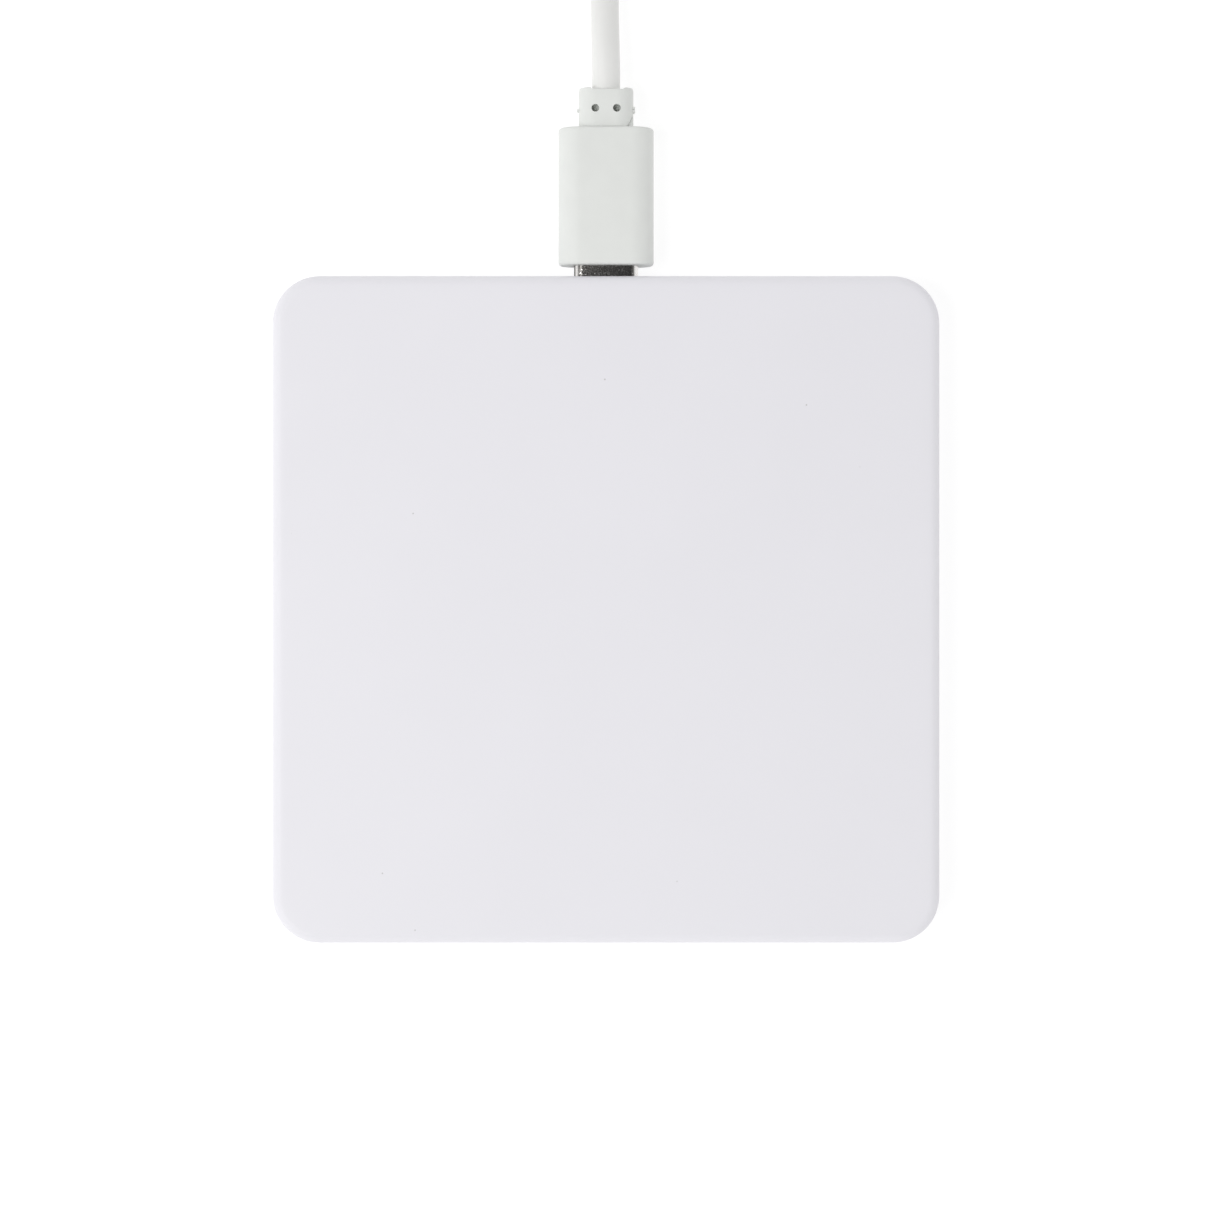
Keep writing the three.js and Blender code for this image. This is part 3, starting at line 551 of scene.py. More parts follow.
def hook_and_loop(name, colour):
    """Woven nylon strap with a brushed loop face: crossed threads 0.45 mm apart under short fuzz,
    which takes the shine away and leaves a pale rim."""
    strap = Finish(name, colour, 0.9, IOR=1.5, Sheen_Weight=0.35, Sheen_Roughness=0.5)
    thread = 0.45 * MM
    wave_length = 20 * thread / (2 * math.pi)
    weave = [strap.node("ShaderNodeTexWave", "Fac", {"bands_direction": way}, {
        "Vector": strap.place, "Scale": 1 / wave_length, "Distortion": 0.6, "Detail": 1.0})
        for way in ("X", "Y")]
    fuzz = strap.noise(0.2 * MM, 4.0)
    height = strap.calculate("ADD", strap.calculate("MULTIPLY", *weave), fuzz)
    # The high threads are painted lighter and the hollows between them darker: painted light and
    # painted shade of the weave.
    lit = spread(strap.tree, height, 0, 1, 0.4, 1.4)
    strap.tint(lit, shade(colour, 0.7), shade(colour, 1.05))
    strap.relief(height, 0.12 * MM)
    return strap.material


def paper_table(name, colour, glow):
    """A plain table top lit from within until it is white, as for cut-out pictures."""
    paper = Finish(name, colour, 0.9, Emission_Color=WHITE, Emission_Strength=glow)
    paper.mottle(paper.noise(6 * MM, 3.0), 0.99, 1.0)
    return paper.material


# Each of the record's slots with its finish, and its colour or the setting that holds it.
FINISHES = {
    "pad_plastic": (moulded_abs, "charging_pad_cover.colour"),
    "plug_plastic": (moulded_tpe, "charging_pad_plug.colour"),
    "cord_jacket": (extruded_jacket, "charging_pad_cord.colour"),
    "foot_rubber": (silicone_rubber, "charging_pad_cover.foot_colour"),
    "plug_steel": (tumbled_nickel, "charging_pad_plug.shell_colour"),
    "tie_fabric": (hook_and_loop, "charging_pad_cord.strap_colour"),
    "socket_steel": (bright_nickel, "#C9C8C4"),
    "contact_gold": (gold_plating, "#E2BC6E"),
    "black_nylon": (moulded_nylon, "#222325"),
    "clear_acrylic": (clear_acrylic, "#F2F5F6"),
    "board_laminate": (solder_mask, "#1F5A3A"),
    "chip_epoxy": (moulded_epoxy, "#1D1D1F"),
    "ferrite": (sintered_ferrite, "#333335"),
    "winding_copper": (enamelled_copper, "#C0713A"),
    "foam": (closed_cell_foam, "#DADAD6"),
    "capacitor_ceramic": (fired_ceramic, "#B89A74"),
    "screw_zinc": (zinc_plating, "#B4B6B8"),
}


def finish_for(slot):
    """The material of one of the record's slots, made when it is first asked for."""
    make, colour = FINISHES[slot]
    known = bpy.data.materials.get(make.__name__)
    if known:
        return known
    if colour.startswith("#"):
        return make(make.__name__, linear(colour))
    return make(make.__name__, tuple(bpy.context.scene.path_resolve(colour)))


def give_finish(piece, slot):
    piece.data.materials.clear()
    piece.data.materials.append(finish_for(slot))


# ---------------------------------------------------------------- studio and cord

TABLE_RADIUS = 3
KEY_PLACE = Vector((-0.38, -0.14, 0.77))
KEY_SIZE = 0.45
# The dark ceiling starts this many degrees from straight up, and is at its darkest from the next.
CEILING_EDGE = (40, 28)


class CHARGING_PAD_OT_studio(bpy.types.Operator):
    """Set up the table, the studio's soft light and the camera straight above the pad"""

    bl_idname = "charging_pad.studio"
    bl_label = "Studio"

    def execute(self, context):
        settings = context.scene.charging_pad_studio
        self.add_table(settings)
        self.add_lights(context, settings)
        self.add_camera(context, settings)
        return {"FINISHED"}

    def add_table(self, settings):
        bpy.ops.object.select_all(action="DESELECT")
        bpy.ops.mesh.primitive_circle_add(vertices=96, radius=TABLE_RADIUS, fill_type="NGON")
        table = place_in_mesh("studio_table")
        paper = paper_table("white_table", tuple(settings.table_colour), settings.table_glow)
        table.data.materials.append(paper)

    def add_lights(self, context, settings):
        world = bpy.data.worlds.new("studio_surround")
        world.use_nodes = True
        tree = world.node_tree
        background = next(node for node in tree.nodes if node.type == "BACKGROUND")
        direction = add_node(tree, "ShaderNodeTexCoord").outputs["Generated"]
        upwards = add_node(tree, "ShaderNodeSeparateXYZ", inputs={"Vector": direction}).outputs["Z"]
        heights = [math.cos(math.radians(angle)) for angle in CEILING_EDGE]
        glow = spread(tree, upwards, settings.surround, settings.ceiling, *heights)
        tree.links.new(glow, background.inputs["Strength"])
        background.inputs["Color"].default_value = WHITE
        context.scene.world = world
        context.scene.view_settings.view_transform = "Standard"
        bpy.ops.object.light_add(type="AREA", location=KEY_PLACE)
        key = context.object
        key.name = "soft_key"
        key.data.shape = "DISK"
        key.data.size = KEY_SIZE
        key.data.energy = settings.key_power
        key.rotation_euler = (-KEY_PLACE).to_track_quat("-Z", "Y").to_euler()

    def add_camera(self, context, settings):
        place = (settings.camera_right, settings.camera_forward, settings.camera_height)
        bpy.ops.object.camera_add(location=place, rotation=(0, 0, 0))
        camera = context.object
        camera.name = "camera"
        distance = settings.camera_height - size_of("top_cover").high.z
        camera.data.lens = camera.data.sensor_width * distance / settings.view_width
        camera.data.clip_start = 10 * MM
        camera.data.clip_end = 20
        context.scene.camera = camera


# The cord's free stretches, in millimetres: out of the plug and down to the
# table, into the coil, and from the coil's upper layer to the far plug.
LEAD_ROUTE = (
    (0, 69.5, 4.55), (-0.05, 72, 4.35), (-0.12, 75, 3.75), (-0.16, 78, 2.95), (-0.05, 80.8, 2.25),
    (0.3, 82.9, 1.95), (0.95, 84.9, 1.8), (2.1, 87.2, 1.8), (3.75, 89.4, 1.8),
)
TAIL_ROUTE = (
    (-8, 85.7, 5.4), (-3, 85.9, 5.4), (2, 86.1, 5.35), (6.5, 86.1, 4.9), (11, 85.9, 3.4),
    (15, 86, 2.2), (19.2, 86.8, 1.85), (22.8, 89.2, 1.85), (25.2, 92.8, 2.05), (26, 96.6, 2.9),
    (26, 99.5, 3.8),
)

# The coil, in turns: inwards on the table, a quarter to change layers, and outwards on top.
COIL_START = math.radians(-45)
COIL_STEPS = 24
LOWER_TURNS = 4
CHANGE_TURNS = 0.25
UPPER_TURNS = 3.625
STRAP_REACH = math.radians(22)


def ease(amount):
    """Go smoothly from 0 to 1, and stay there."""
    amount = min(max(amount, 0), 1)
    return amount * amount * (3 - 2 * amount)


def coil_points(diameter):
    """The coil's centreline: inwards on the table, up a layer, and outwards on top of it."""
    low, high, middle = size_of("cord_coil")
    outer = (high.x - low.x) / 2 - diameter / 2
    inner = outer - LOWER_TURNS * diameter
    strap = bpy.context.scene.charging_pad_cord.strap_thickness
    turns = LOWER_TURNS + CHANGE_TURNS + UPPER_TURNS
    points = []
    for step in range(round(turns * COIL_STEPS) + 1):
        turn = step / COIL_STEPS
        angle = COIL_START + 2 * math.pi * turn
        outwards = max(turn - LOWER_TURNS - CHANGE_TURNS, 0)
        radius = max(outer - diameter * turn, inner) + diameter * outwards
        layer = ease((turn - LOWER_TURNS) / CHANGE_TURNS)
        from_strap = abs(math.remainder(angle - math.pi, 2 * math.pi))
        lift = 1.2 * strap * ease(2 - from_strap / STRAP_REACH)
        height = diameter / 2 + layer * diameter + lift
        around = Vector((math.cos(angle), math.sin(angle), 0)) * radius
        points.append(Vector((middle.x, middle.y, height)) + around)
    return points


def cord_points(diameter):
    """The whole centreline, which starts inside the collar and ends inside the far plug's relief."""
    inside, outside = 1.5 * MM, 0.3 * MM
    collar = size_of("plug_strain_relief")
    rear = Vector((0, collar.high.y, collar.middle.z))
    relief = size_of("far_plug_strain_relief")
    mouth = Vector((relief.middle.x, relief.low.y, relief.middle.z))
    ahead = Vector((0, 1, 0))
    lead = [rear - inside * ahead, rear + outside * ahead, *(Vector(p) * MM for p in LEAD_ROUTE)]
    tail = [*(Vector(p) * MM for p in TAIL_ROUTE), mouth - outside * ahead, mouth + 2 * inside * ahead]
    return lead + coil_points(diameter) + tail


class CHARGING_PAD_OT_cord(bpy.types.Operator):
    """Lay the cord from the plug to the table, round its coil and on to the far plug"""

    bl_idname = "charging_pad.cord"
    bl_label = "Cord"

    def execute(self, context):
        settings = context.scene.charging_pad_cord
        points = cord_points(settings.diameter)
        line = bpy.data.curves.new("cord", "CURVE")
        line.dimensions = "3D"
        line.bevel_depth = settings.diameter / 2
        line.bevel_resolution = 8
        line.resolution_u = 5
        line.use_fill_caps = True
        spline = line.splines.new("BEZIER")
        spline.bezier_points.add(len(points) - 1)
        for knot, point in zip(spline.bezier_points, points):
            knot.co = point
            knot.handle_left_type = "AUTO"
            knot.handle_right_type = "AUTO"
        cord = bpy.data.objects.new("cord", line)
        context.collection.objects.link(cord)
        line.materials.append(finish_for("cord_jacket"))
        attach(cord, "cable")
        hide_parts("cord_lead", "cord_coil", "cord_tail")
        return {"FINISHED"}


class CHARGING_PAD_OT_cord_strap(bpy.types.Operator):
    """Make the hook-and-loop strap that holds the coil, with its free end lapped on top"""

    bl_idname = "charging_pad.cord_strap"
    bl_label = "Cord Strap"

    def execute(self, context):
        settings = context.scene.charging_pad_cord
        thickness = settings.strap_thickness
        low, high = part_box("cord_tie")
        strap = rounded_bar("cord_strap", low, high, settings.strap_bend, segments=8)
        open_tube(strap, thickness)
        lap_low = Vector((low.x + 5 * MM, low.y, high.z - 0.1 * MM))
        lap_high = Vector((high.x - 4 * MM, high.y, high.z + 0.75 * thickness))
        combine(strap, "UNION", rounded_bar("cord_strap_lap", lap_low, lap_high, 1.6 * MM, Z, 6))
        finish_piece(strap, "cable", "tie_fabric", "cord_tie", smooth=30)
        return {"FINISHED"}


# ---------------------------------------------------------------- pad

CORNER_STEPS = 16
FACE_BORDER = 0.8 * MM
PILLAR_TOP = 3.6 * MM
PILLAR_RADIUS = 3 * MM
FLANGE_LENGTH = 0.6 * MM
PIPE_RADIUS = 0.8 * MM
FLANGE_RADIUS = 1.15 * MM


def pad_corners():
    return [size_of(f"foot_{i}").middle for i in range(1, 5)]


def upright(name, corner, radius, bottom, top, sides):
    """A rod that stands over one corner of the pad."""
    return start_rod(name, (corner.x, corner.y, (bottom + top) / 2), radius, top - bottom, Z, sides)


def light_pipe_hole():
    """The tool that bores the light pipe's hole and its flange seat."""
    low, high, centre = size_of("light_pipe")
    clearance = 0.1 * MM
    holes = []
    for radius, start, end in (
            (PIPE_RADIUS, low.y - PAST, high.y),
            (FLANGE_RADIUS, low.y + bpy.context.scene.charging_pad_cover.wall, high.y + PAST)):
        middle = (centre.x, (start + end) / 2, centre.z)
        holes.append(start_rod("hole", middle, radius + clearance, end - start, Y, 32))
    combine(holes[0], "UNION", holes[1])
    return holes[0]


class CHARGING_PAD_OT_top_cover(bpy.types.Operator):
    """Model the top cover: charging face, rounded sides, screw bosses, socket slot and light hole"""

    bl_idname = "charging_pad.top_cover"
    bl_label = "Top Cover"

    def execute(self, context):
        settings = context.scene.charging_pad_cover
        low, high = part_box("top_cover")
        ceiling = size_of("foam_ring").high.z
        cover = start_block("pad_top_shell", low, high)
        edit(cover)
        pick("EDGE", along(Z))
        round_off(settings.corner, CORNER_STEPS)
        pick("EDGE", in_plane(Z, high.z))
        round_off(settings.top_edge, 10)
        pick("FACE", in_plane(Z, high.z))
        inset(FACE_BORDER)
        pick("EDGE", in_plane(Z, low.z))
        round_off(settings.parting_edge, 2)
        pick("FACE", in_plane(Z, low.z))
        inset(settings.wall - settings.parting_edge)
        push(z=ceiling - low.z)
        stop_editing()
        self.add_bosses(cover, ceiling)
        self.cut_socket_slot(cover, settings, high.y)
        combine(cover, "DIFFERENCE", light_pipe_hole())
        finish_piece(cover, "pad", "pad_plastic", "top_cover")
        return {"FINISHED"}

    def add_bosses(self, cover, ceiling):
        """A boss in each corner, sunk 0.5 mm into the ceiling, with a pilot hole for its screw."""
        tip = size_of("cover_screw_1").high.z + 0.2 * MM
        for corner in pad_corners():
            boss = upright("boss", corner, PILLAR_RADIUS, PILLAR_TOP, ceiling + 0.5 * MM, 40)
            combine(cover, "UNION", boss)
            combine(cover, "DIFFERENCE", upright("pilot", corner, 1.05 * MM, 0, tip, 24))

    def cut_socket_slot(self, cover, settings, outside):
        """Cut the slot, flared at the outside as a moulded opening is."""
        low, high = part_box("usb_socket_shell")
        gap = Vector((0.18 * MM, 0, 0.18 * MM))
        flare_depth, flare = 0.2 * MM, 1.2 * MM
        start = Vector((low.x, outside - settings.wall - PAST, low.z)) - gap
        end = Vector((high.x, outside - flare_depth, high.z)) + gap
        slot = rounded_bar("slot", start, end, oval_radius(start, end))
        edit(slot)
        pick("FACE", in_plane(Y, end.y))
        push(y=flare / 2)
        width, height = end.x - start.x, end.z - start.z
        bpy.ops.transform.resize(value=(1 + flare / width, 1, 1 + flare / height))
        stop_editing()
        combine(cover, "DIFFERENCE", slot)


class CHARGING_PAD_OT_bottom_cover(bpy.types.Operator):
    """Model the bottom cover: tray, raised lip, screw pillars, foot recesses and the socket's notch"""

    bl_idname = "charging_pad.bottom_cover"
    bl_label = "Bottom Cover"

    def execute(self, context):
        settings = context.scene.charging_pad_cover
        low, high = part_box("bottom_cover")
        parting = size_of("top_cover").low.z
        floor_top = parting - 0.3 * MM
        lip_gap = 0.15 * MM
        tray = start_block("pad_bottom_shell", low, Vector((high.x, high.y, parting)))
        edit(tray)
        pick("EDGE", along(Z))
        round_off(settings.corner, CORNER_STEPS)
        pick("EDGE", in_plane(Z, low.z))
        round_off(settings.bottom_edge, 6)
        pick("FACE", in_plane(Z, low.z))
        inset(FACE_BORDER)
        pick("EDGE", in_plane(Z, parting))
        round_off(settings.parting_edge, 2)
        pick("FACE", in_plane(Z, parting))
        inset(settings.wall + lip_gap - settings.parting_edge)
        push(z=high.z - parting)
        inset(settings.lip_wall)
        push(z=floor_top - high.z)
        stop_editing()
        self.add_pillars(tray, low.z, parting)
        self.cut_notch(tray, settings, parting, high)
        combine(tray, "DIFFERENCE", light_pipe_hole())
        finish_piece(tray, "pad", "pad_plastic", "bottom_cover")
        return {"FINISHED"}

    def add_pillars(self, tray, bottom, parting):
        """A stepped pillar in each corner, bored for the foot, the screw's head and its shank."""
        foot_seat = size_of("foot_1").high.z
        head_seat = size_of("cover_screw_1").low.z + 1.2 * MM
        posts = ((4.2 * MM, parting), (PILLAR_RADIUS, PILLAR_TOP))
        holes = ((5.2 * MM, foot_seat), (2.1 * MM, head_seat), (1.15 * MM, 2 * PILLAR_TOP))
        for corner in pad_corners():
            for radius, top in posts:
                combine(tray, "UNION", upright("post", corner, radius, bottom + 0.7 * MM, top, 40))
            for radius, top in holes:
                combine(tray, "DIFFERENCE", upright("hole", corner, radius, 0, top, 64))

    def cut_notch(self, tray, settings, parting, high):
        """Take the lip away where the socket stands in it."""
        half = 6.3 * MM
        inside = high.y - settings.wall - settings.lip_wall - 1.2 * MM
        notch = start_block("notch", (-half, inside, parting), (half, high.y + PAST, 2 * high.z))
        combine(tray, "DIFFERENCE", notch)


class CHARGING_PAD_OT_feet(bpy.types.Operator):
    """Model one rubber foot with a grip ring and copy it to the four corners"""

    bl_idname = "charging_pad.feet"
    bl_label = "Feet"

    def execute(self, context):
        low, high, centre = size_of("foot_1")
        groove = 0.15 * MM
        foot = start_rod("pad_foot_1", centre, (high.x - low.x) / 2, high.z - low.z, Z, 64)
        edit(foot)
        pick("EDGE", in_plane(Z, low.z))
        round_off(0.3 * MM, 5)
        pick("FACE", in_plane(Z, low.z))
        inset(1.2 * MM)
        inset(groove)
        push(z=groove)
        inset(0.6 * MM)
        push(z=-groove)
        stop_editing()
        feet = [foot]
        for i in range(2, 5):
            copy = foot.copy()
            copy.data = foot.data.copy()
            copy.name = f"pad_foot_{i}"
            copy.data.transform(Matrix.Translation(size_of(f"foot_{i}").middle - centre))
            context.collection.objects.link(copy)
            feet.append(copy)
        for i, piece in enumerate(feet, 1):
            finish_piece(piece, "pad", "foot_rubber", f"foot_{i}")
        return {"FINISHED"}


class CHARGING_PAD_OT_light_pipe(bpy.types.Operator):
    """Model the light pipe with its flange and a slightly domed end"""

    bl_idname = "charging_pad.light_pipe"
    bl_label = "Light Pipe"

    def execute(self, context):
        low, high, centre = size_of("light_pipe")
        wall = context.scene.charging_pad_cover.wall
        pipe = start_rod("light_pipe_rod", centre, PIPE_RADIUS, high.y - low.y, Y, 32)
        behind_wall = (centre.x, low.y + wall + FLANGE_LENGTH / 2, centre.z)
        combine(pipe, "UNION", start_rod("flange", behind_wall, FLANGE_RADIUS, FLANGE_LENGTH, Y, 32))
        round_end(pipe, Y, low.y, 0.15 * MM)
        finish_piece(pipe, "pad", "clear_acrylic", "light_pipe")
        return {"FINISHED"}


class CHARGING_PAD_OT_socket(bpy.types.Operator):
    """Model the socket's steel shell and the contacts on its tongue"""

    bl_idname = "charging_pad.socket"
    bl_label = "Socket"

    def execute(self, context):
        low, high, centre = size_of("usb_socket_shell")
        shell = rounded_bar("usb_socket_case", low, high, oval_radius(low, high))
        open_tube(shell, 0.3 * MM)
        finish_piece(shell, "pad", "socket_steel", "usb_socket_shell")
        self.add_contacts(centre)
        return {"FINISHED"}

    def add_contacts(self, centre):
        """Twelve gold pads above the tongue and twelve below, 0.5 mm apart."""
        tip = size_of("usb_socket_tongue").high.y
        pitch = 0.5 * MM
        half_width = 0.12 * MM
        first = centre.x - 5.5 * pitch
        half_tongue, sunk, proud = 0.35 * MM, 0.05 * MM, 0.04 * MM
        bottom, top = centre.z + half_tongue - sunk, centre.z + half_tongue + proud
        pad = start_block("usb_socket_contacts", (first - half_width, tip - 3.6 * MM, bottom),
                          (first + half_width, tip - 0.4 * MM, top))
        edit(pad)
        pick("FACE", in_plane(Z, top))
        inset(0.03 * MM)
        stop_editing()
        use_modifier(pad, "ARRAY", count=12, use_relative_offset=False, use_constant_offset=True,
                     constant_offset_displace=(pitch, 0, 0))
        edit(pad)
        bpy.ops.mesh.select_all(action="SELECT")
        bpy.ops.mesh.duplicate()
        bpy.ops.transform.translate(value=(0, 0, sunk - 2 * half_tongue - proud))
        stop_editing()
        finish_piece(pad, "pad", "contact_gold")


# ---------------------------------------------------------------- plug in the pad

COLLAR_HALF_WIDTH = 3.5 * MM
COLLAR_CORNER = 2.2 * MM
CORE_HALF_WIDTH = 2.8 * MM
CORE_HALF_HEIGHT = 1.7 * MM


def core_block(name, start, end, height, gap=0.0):
    """The part of the collar that sits inside the plug's body, or the room for it."""
    half = Vector((CORE_HALF_WIDTH + gap, 0, CORE_HALF_HEIGHT + gap))
    return start_block(name, Vector((0, start, height)) - half, Vector((0, end, height)) + half)


class CHARGING_PAD_OT_plug_shell(bpy.types.Operator):
    """Model the plug's seamless metal shell with a rolled-in front rim"""

    bl_idname = "charging_pad.plug_shell"
    bl_label = "Plug Shell"

    def execute(self, context):
        low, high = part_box("plug_shell")
        shell = rounded_bar("plug_steel_sleeve", low, high, oval_radius(low, high))
        open_tube(shell, context.scene.charging_pad_plug.shell_wall)
        round_end(shell, Y, low.y, 0.08 * MM, 3)
        finish_piece(shell, "cable", "plug_steel", "plug_shell")
        return {"FINISHED"}


class CHARGING_PAD_OT_plug_body(bpy.types.Operator):
    """Model the plug's moulded body, hollow where the shell, board and strain relief sit"""

    bl_idname = "charging_pad.plug_body"
    bl_label = "Plug Body"

    def execute(self, context):
        settings = context.scene.charging_pad_plug
        low, high, centre = size_of("plug_housing")
        body = rounded_bar("plug_moulded_body", low, high, settings.body_corner, segments=14)
        for end in (low.y, high.y):
            round_end(body, Y, end, settings.body_edge, 6)
        gap = Vector((GAP, GAP, GAP))
        shell_low, shell_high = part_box("plug_shell")
        shell_low.y = low.y - PAST
        sleeve = rounded_bar("sleeve_space", shell_low - gap, shell_high + gap, 1.2 * MM)
        board_low, board_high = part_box("plug_board")
        board = start_block("board_space", board_low - 5 * gap, board_high + 5 * gap)
        core = core_block("core_space", board_high.y + 2 * GAP, high.y + PAST, centre.z, GAP)
        combine(body, "DIFFERENCE", sleeve, board, core)
        finish_piece(body, "cable", "plug_plastic", "plug_housing")
        return {"FINISHED"}


class CHARGING_PAD_OT_plug_collar(bpy.types.Operator):
    """Model the collar behind the plug: oval sleeve, rear lobes, side nubs, pin holes and a crease"""

    bl_idname = "charging_pad.plug_collar"
    bl_label = "Plug Collar"

    def execute(self, context):
        low, high, centre = size_of("plug_strain_relief")
        front = size_of("plug_housing").high.y + GAP
        rear = high.y
        dish = 0.25 * MM
        sleeve = rounded_bar("plug_collar", (-COLLAR_HALF_WIDTH, front, low.z),
                             (COLLAR_HALF_WIDTH, rear - dish, high.z), COLLAR_CORNER, segments=12)
        round_end(sleeve, Y, rear - dish, 0.12 * MM, 3)
        core_start = size_of("plug_board").high.y + 0.3 * MM
        combine(sleeve, "UNION", core_block("core", core_start, front + 2 * MM, centre.z))
        for start, end, radius in ((-4 * MM, -1.75 * MM, 0.45 * MM), (2 * MM, 4 * MM, 0.7 * MM)):
            self.add_lobe(sleeve, (start, end), radius, rear, (low.z, high.z))
        hole_y = rear - 2.7 * MM
        self.add_nub(sleeve, -1, hole_y - 0.1 * MM, 0.3 * MM, centre.z, high.x)
        for step in (-0.22 * MM, 0.2 * MM):
            self.add_nub(sleeve, 1, hole_y + step, 0.32 * MM, centre.z, high.x - 0.02 * MM)
        for side in (-1, 1):
            self.bore_pin_hole(sleeve, side * 1.37 * MM, hole_y, high.z)
        self.cut_crease(sleeve, Vector((2.66 * MM, front - 0.1 * MM, centre.z + 1.8 * MM)),
                        Vector((3.36 * MM, front + 1.35 * MM, centre.z + 0.88 * MM)))
        finish_piece(sleeve, "cable", "plug_plastic", "plug_strain_relief")
        return {"FINISHED"}

    def add_lobe(self, sleeve, across, radius, rear, heights):
        """A low lobe on the rear face, trimmed to the collar's own outline a hair inside it."""
        lobe = rounded_bar("lobe", (across[0], rear - 1.5 * MM, heights[0] - PAST),
                           (across[1], rear, heights[1] + PAST), radius, Z, 6)
        skin = 0.02 * MM
        half = COLLAR_HALF_WIDTH - skin
        outline = rounded_bar("outline", (-half, rear - 2 * MM, heights[0] + skin),
                              (half, rear, heights[1] - skin), COLLAR_CORNER - skin, segments=12)
        round_end(outline, Y, rear, 0.2 * MM, 3)
        combine(lobe, "INTERSECT", outline)
        combine(sleeve, "UNION", lobe)

    def add_nub(self, sleeve, side, y, width, middle, reach):
        """A stub of flash on the mould's parting line."""
        root, tip = sorted((side * 3.2 * MM, side * reach))
        half_height = 0.8 * MM
        nub = start_block("nub", (root, y - width / 2, middle - half_height),
                          (tip, y + width / 2, middle + half_height))
        round_edges(nub, lambda edge: along(Z)(edge) or along(Y)(edge), 0.12 * MM, 3)
        combine(sleeve, "UNION", nub)

    def bore_pin_hole(self, sleeve, x, y, top):
        """A blind hole where a mould pin held the wires, with a low dome at its bottom."""
        depth = 1.5 * MM
        pin = start_rod("pin", (x, y, top), 0.5 * MM, 2 * depth, Z, 32)
        edit(pin)
        pick("FACE", in_plane(Z, top - depth))
        inset(0.2 * MM)
        push(z=0.35 * MM)
        bpy.ops.transform.resize(value=(0.4, 0.4, 1))
        stop_editing()
        combine(sleeve, "DIFFERENCE", pin)

    def cut_crease(self, sleeve, start, end):
        """A short flow line that the moulding left across the collar's right corner."""
        turn = (end - start).to_track_quat("Z", "Y").to_euler()
        bpy.ops.object.select_all(action="DESELECT")
        bpy.ops.mesh.primitive_cylinder_add(
            vertices=24, radius=0.14 * MM, depth=(end - start).length,
            location=(start + end) / 2, rotation=turn)
        combine(sleeve, "DIFFERENCE", place_in_mesh("crease"))


# ---------------------------------------------------------------- far plug

RELIEF_SMALL = 2.3 * MM
RELIEF_LARGE = 3.1 * MM
RELIEF_GROOVES = 4
RELIEF_GROOVE_DEPTH = 0.35 * MM


class CHARGING_PAD_OT_far_body(bpy.types.Operator):
    """Model the far plug's body with its two grip recesses and the pocket for its shell"""

    bl_idname = "charging_pad.far_body"
    bl_label = "Far Plug Body"

    def execute(self, context):
        settings = context.scene.charging_pad_plug
        low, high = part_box("far_plug_housing")
        body = rounded_bar("usb_a_moulded_body", low, high, settings.far_corner, segments=12)
        for end in (low.y, high.y):
            round_end(body, Y, end, settings.far_edge, 6)
        shell_low, shell_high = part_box("far_plug_shell")
        gap = Vector((GAP, 0, GAP))
        pocket = rounded_bar("pocket", shell_low - gap, shell_high + gap, 0.6 * MM, segments=4)
        combine(body, "DIFFERENCE", pocket)
        for face, side in ((low.z, -1), (high.z, 1)):
            self.cut_grip(body, low, high, face, side)
        finish_piece(body, "cable", "plug_plastic", "far_plug_housing")
        return {"FINISHED"}

    def cut_grip(self, body, low, high, face, side):
        """A shallow recess for the fingers in the upper or the lower face."""
        floor = face - side * 0.3 * MM
        bottom, top = sorted((floor, face + side * PAST))
        grip = rounded_bar("grip", (low.x + 3 * MM, low.y + 4 * MM, bottom),
                           (high.x - 3 * MM, high.y - 5 * MM, top), 2.5 * MM, Z, 8)
        round_end(grip, Z, floor, 0.2 * MM)
        combine(body, "DIFFERENCE", grip)


class CHARGING_PAD_OT_far_relief(bpy.types.Operator):
    """Model the far plug's tapered strain relief with its flexing grooves"""

    bl_idname = "charging_pad.far_relief"
    bl_label = "Far Plug Strain Relief"

    def execute(self, context):
        low, high, centre = size_of("far_plug_strain_relief")
        length = high.y - low.y
        pitch = length / (RELIEF_GROOVES + 1)
        start = pitch / 4
        first_ring = (centre.x, low.y + start / 2, centre.z)
        sleeve = start_rod("usb_a_strain_relief", first_ring, RELIEF_SMALL, start, Y, 48)
        edit(sleeve)
        pick("FACE", in_plane(Y, low.y + start))
        radius, along_relief = RELIEF_SMALL, start
        for next_radius, next_along in self.profile(pitch, length):
            push(y=next_along - along_relief)
            scale = next_radius / radius
            bpy.ops.transform.resize(value=(scale, 1, scale))
            radius, along_relief = next_radius, next_along
        pick("EDGE", self.is_rim(centre))
        round_off(0.12 * MM, 3)
        stop_editing()
        finish_piece(sleeve, "cable", "plug_plastic", "far_plug_strain_relief")
        return {"FINISHED"}

    def profile(self, pitch, length):
        """Radius and distance of each step: a rib, down into a groove, and up to the next rib."""
        steps = []
        for number in range(1, RELIEF_GROOVES + 1):
            middle = number * pitch
            radius = RELIEF_SMALL + (RELIEF_LARGE - RELIEF_SMALL) * middle / length
            wide, narrow = pitch * 0.24, pitch * 0.2
            steps += [(radius, middle - wide), (radius - RELIEF_GROOVE_DEPTH, middle - narrow),
                      (radius - RELIEF_GROOVE_DEPTH, middle + narrow), (radius, middle + wide)]
        return [*steps, (RELIEF_LARGE, length)]

    def is_rim(self, centre):
        """A test for the ring edges at the top of each rib and at the cord's end."""
        def test(edge):
            first, second = (Vector((v.co.x - centre.x, v.co.z - centre.z)).length for v in edge.verts)
            ring = abs(edge.verts[0].co.y - edge.verts[1].co.y) < TOUCH and abs(first - second) < TOUCH
            bends = len(edge.link_faces) == 2 and edge.calc_face_angle(0) > math.radians(30)
            return ring and bends
        return test


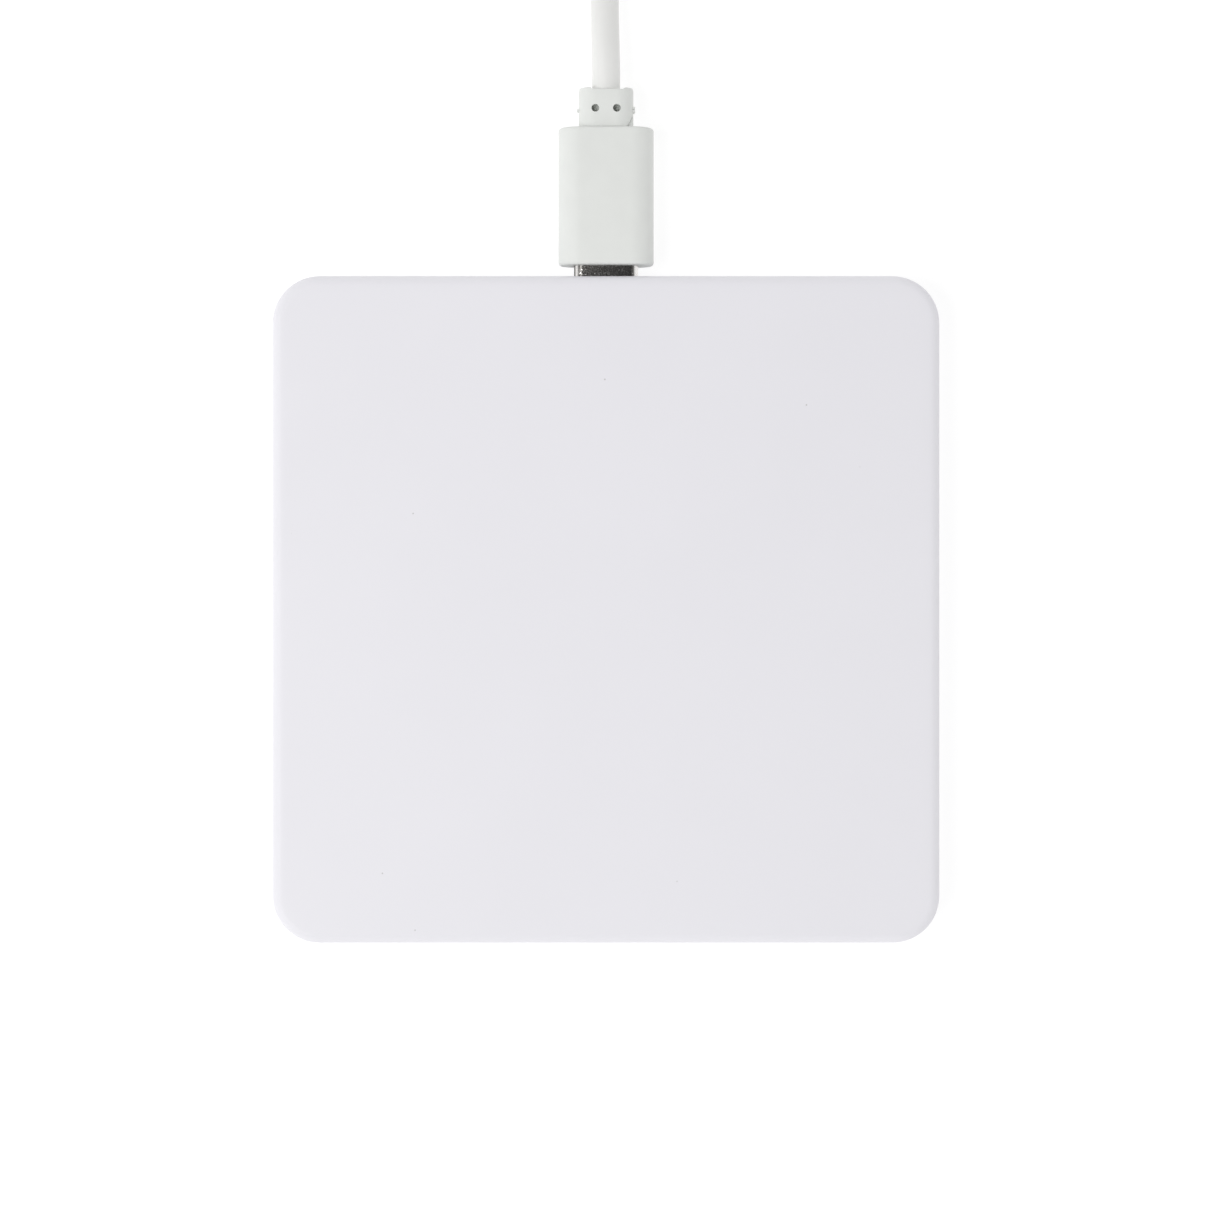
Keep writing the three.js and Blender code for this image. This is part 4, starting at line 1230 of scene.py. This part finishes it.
class CHARGING_PAD_OT_far_shell(bpy.types.Operator):
    """Model the far plug's folded steel shell with its two latch windows"""

    bl_idname = "charging_pad.far_shell"
    bl_label = "Far Plug Shell"

    def execute(self, context):
        low, high, centre = size_of("far_plug_shell")
        shell = rounded_bar("usb_a_steel_shell", low, high, 0.6 * MM, segments=5)
        open_tube(shell, context.scene.charging_pad_plug.far_wall)
        window_y = high.y - 4.6 * MM
        half = Vector((1 * MM, 1.25 * MM, 0))
        for side in (-1, 1):
            x = centre.x + side * 2.7 * MM
            window = rounded_bar("window", Vector((x, window_y, low.z - PAST)) - half,
                                 Vector((x, window_y, high.z + PAST)) + half, 0.25 * MM, Z, 3)
            combine(shell, "DIFFERENCE", window)
        finish_piece(shell, "cable", "socket_steel", "far_plug_shell")
        return {"FINISHED"}


# ---------------------------------------------------------------- what the cord is


class CHARGING_PAD_OT_cord_facts(bpy.types.Operator):
    """Do nothing: this step states no length or diameter and names no pieces"""

    bl_idname = "charging_pad.cord_facts"
    bl_label = "Cord Facts"

    def execute(self, context):
        return {"FINISHED"}


# ---------------------------------------------------------------- pieces kept from the frame

class CHARGING_PAD_OT_kept_pieces(bpy.types.Operator):
    """Give every piece that keeps its plain shape the finish of its own material"""

    bl_idname = "charging_pad.kept_pieces"
    bl_label = "Inner Pieces"

    def execute(self, context):
        slots = {entry["node"]: entry["material_slot"] for entry in frame["record"]["subparts"]}
        for node, piece in frame["nodes"].items():
            if piece.hide_render:
                continue
            give_finish(piece, slots[node])
        return {"FINISHED"}


# ---------------------------------------------------------------- panel and registration

STEPS = (
    CHARGING_PAD_OT_studio,
    CHARGING_PAD_OT_cord,
    CHARGING_PAD_OT_cord_strap,
    CHARGING_PAD_OT_top_cover,
    CHARGING_PAD_OT_bottom_cover,
    CHARGING_PAD_OT_feet,
    CHARGING_PAD_OT_light_pipe,
    CHARGING_PAD_OT_socket,
    CHARGING_PAD_OT_plug_shell,
    CHARGING_PAD_OT_plug_body,
    CHARGING_PAD_OT_plug_collar,
    CHARGING_PAD_OT_far_body,
    CHARGING_PAD_OT_far_relief,
    CHARGING_PAD_OT_far_shell,
    CHARGING_PAD_OT_cord_facts,
    CHARGING_PAD_OT_kept_pieces,
)

SETTINGS = {
    "charging_pad_studio": ChargingPadStudioSettings,
    "charging_pad_cover": ChargingPadCoverSettings,
    "charging_pad_plug": ChargingPadPlugSettings,
    "charging_pad_cord": ChargingPadCordSettings,
}


class CHARGING_PAD_PT_pieces(bpy.types.Panel):
    """List the pad's settings and the steps that make it"""

    bl_idname = "CHARGING_PAD_PT_pieces"
    bl_label = "Charging Pad"
    bl_space_type = "VIEW_3D"
    bl_region_type = "UI"
    bl_category = "Charging Pad"

    def draw(self, context):
        for group, kind in SETTINGS.items():
            box = self.layout.box()
            for name in kind.__annotations__:
                box.prop(getattr(context.scene, group), name)
        for step in STEPS:
            self.layout.operator(step.bl_idname)


def register():
    for kind in (*SETTINGS.values(), *STEPS, CHARGING_PAD_PT_pieces):
        bpy.utils.register_class(kind)
    for group, kind in SETTINGS.items():
        setattr(bpy.types.Scene, group, bpy.props.PointerProperty(type=kind))


def unregister():
    for group in SETTINGS:
        delattr(bpy.types.Scene, group)
    for kind in (CHARGING_PAD_PT_pieces, *reversed(STEPS), *SETTINGS.values()):
        bpy.utils.unregister_class(kind)


def main():
    register()
    for step in STEPS:
        getattr(bpy.ops.charging_pad, step.bl_idname.split(".")[1])()


if __name__ == "__main__":
    main()
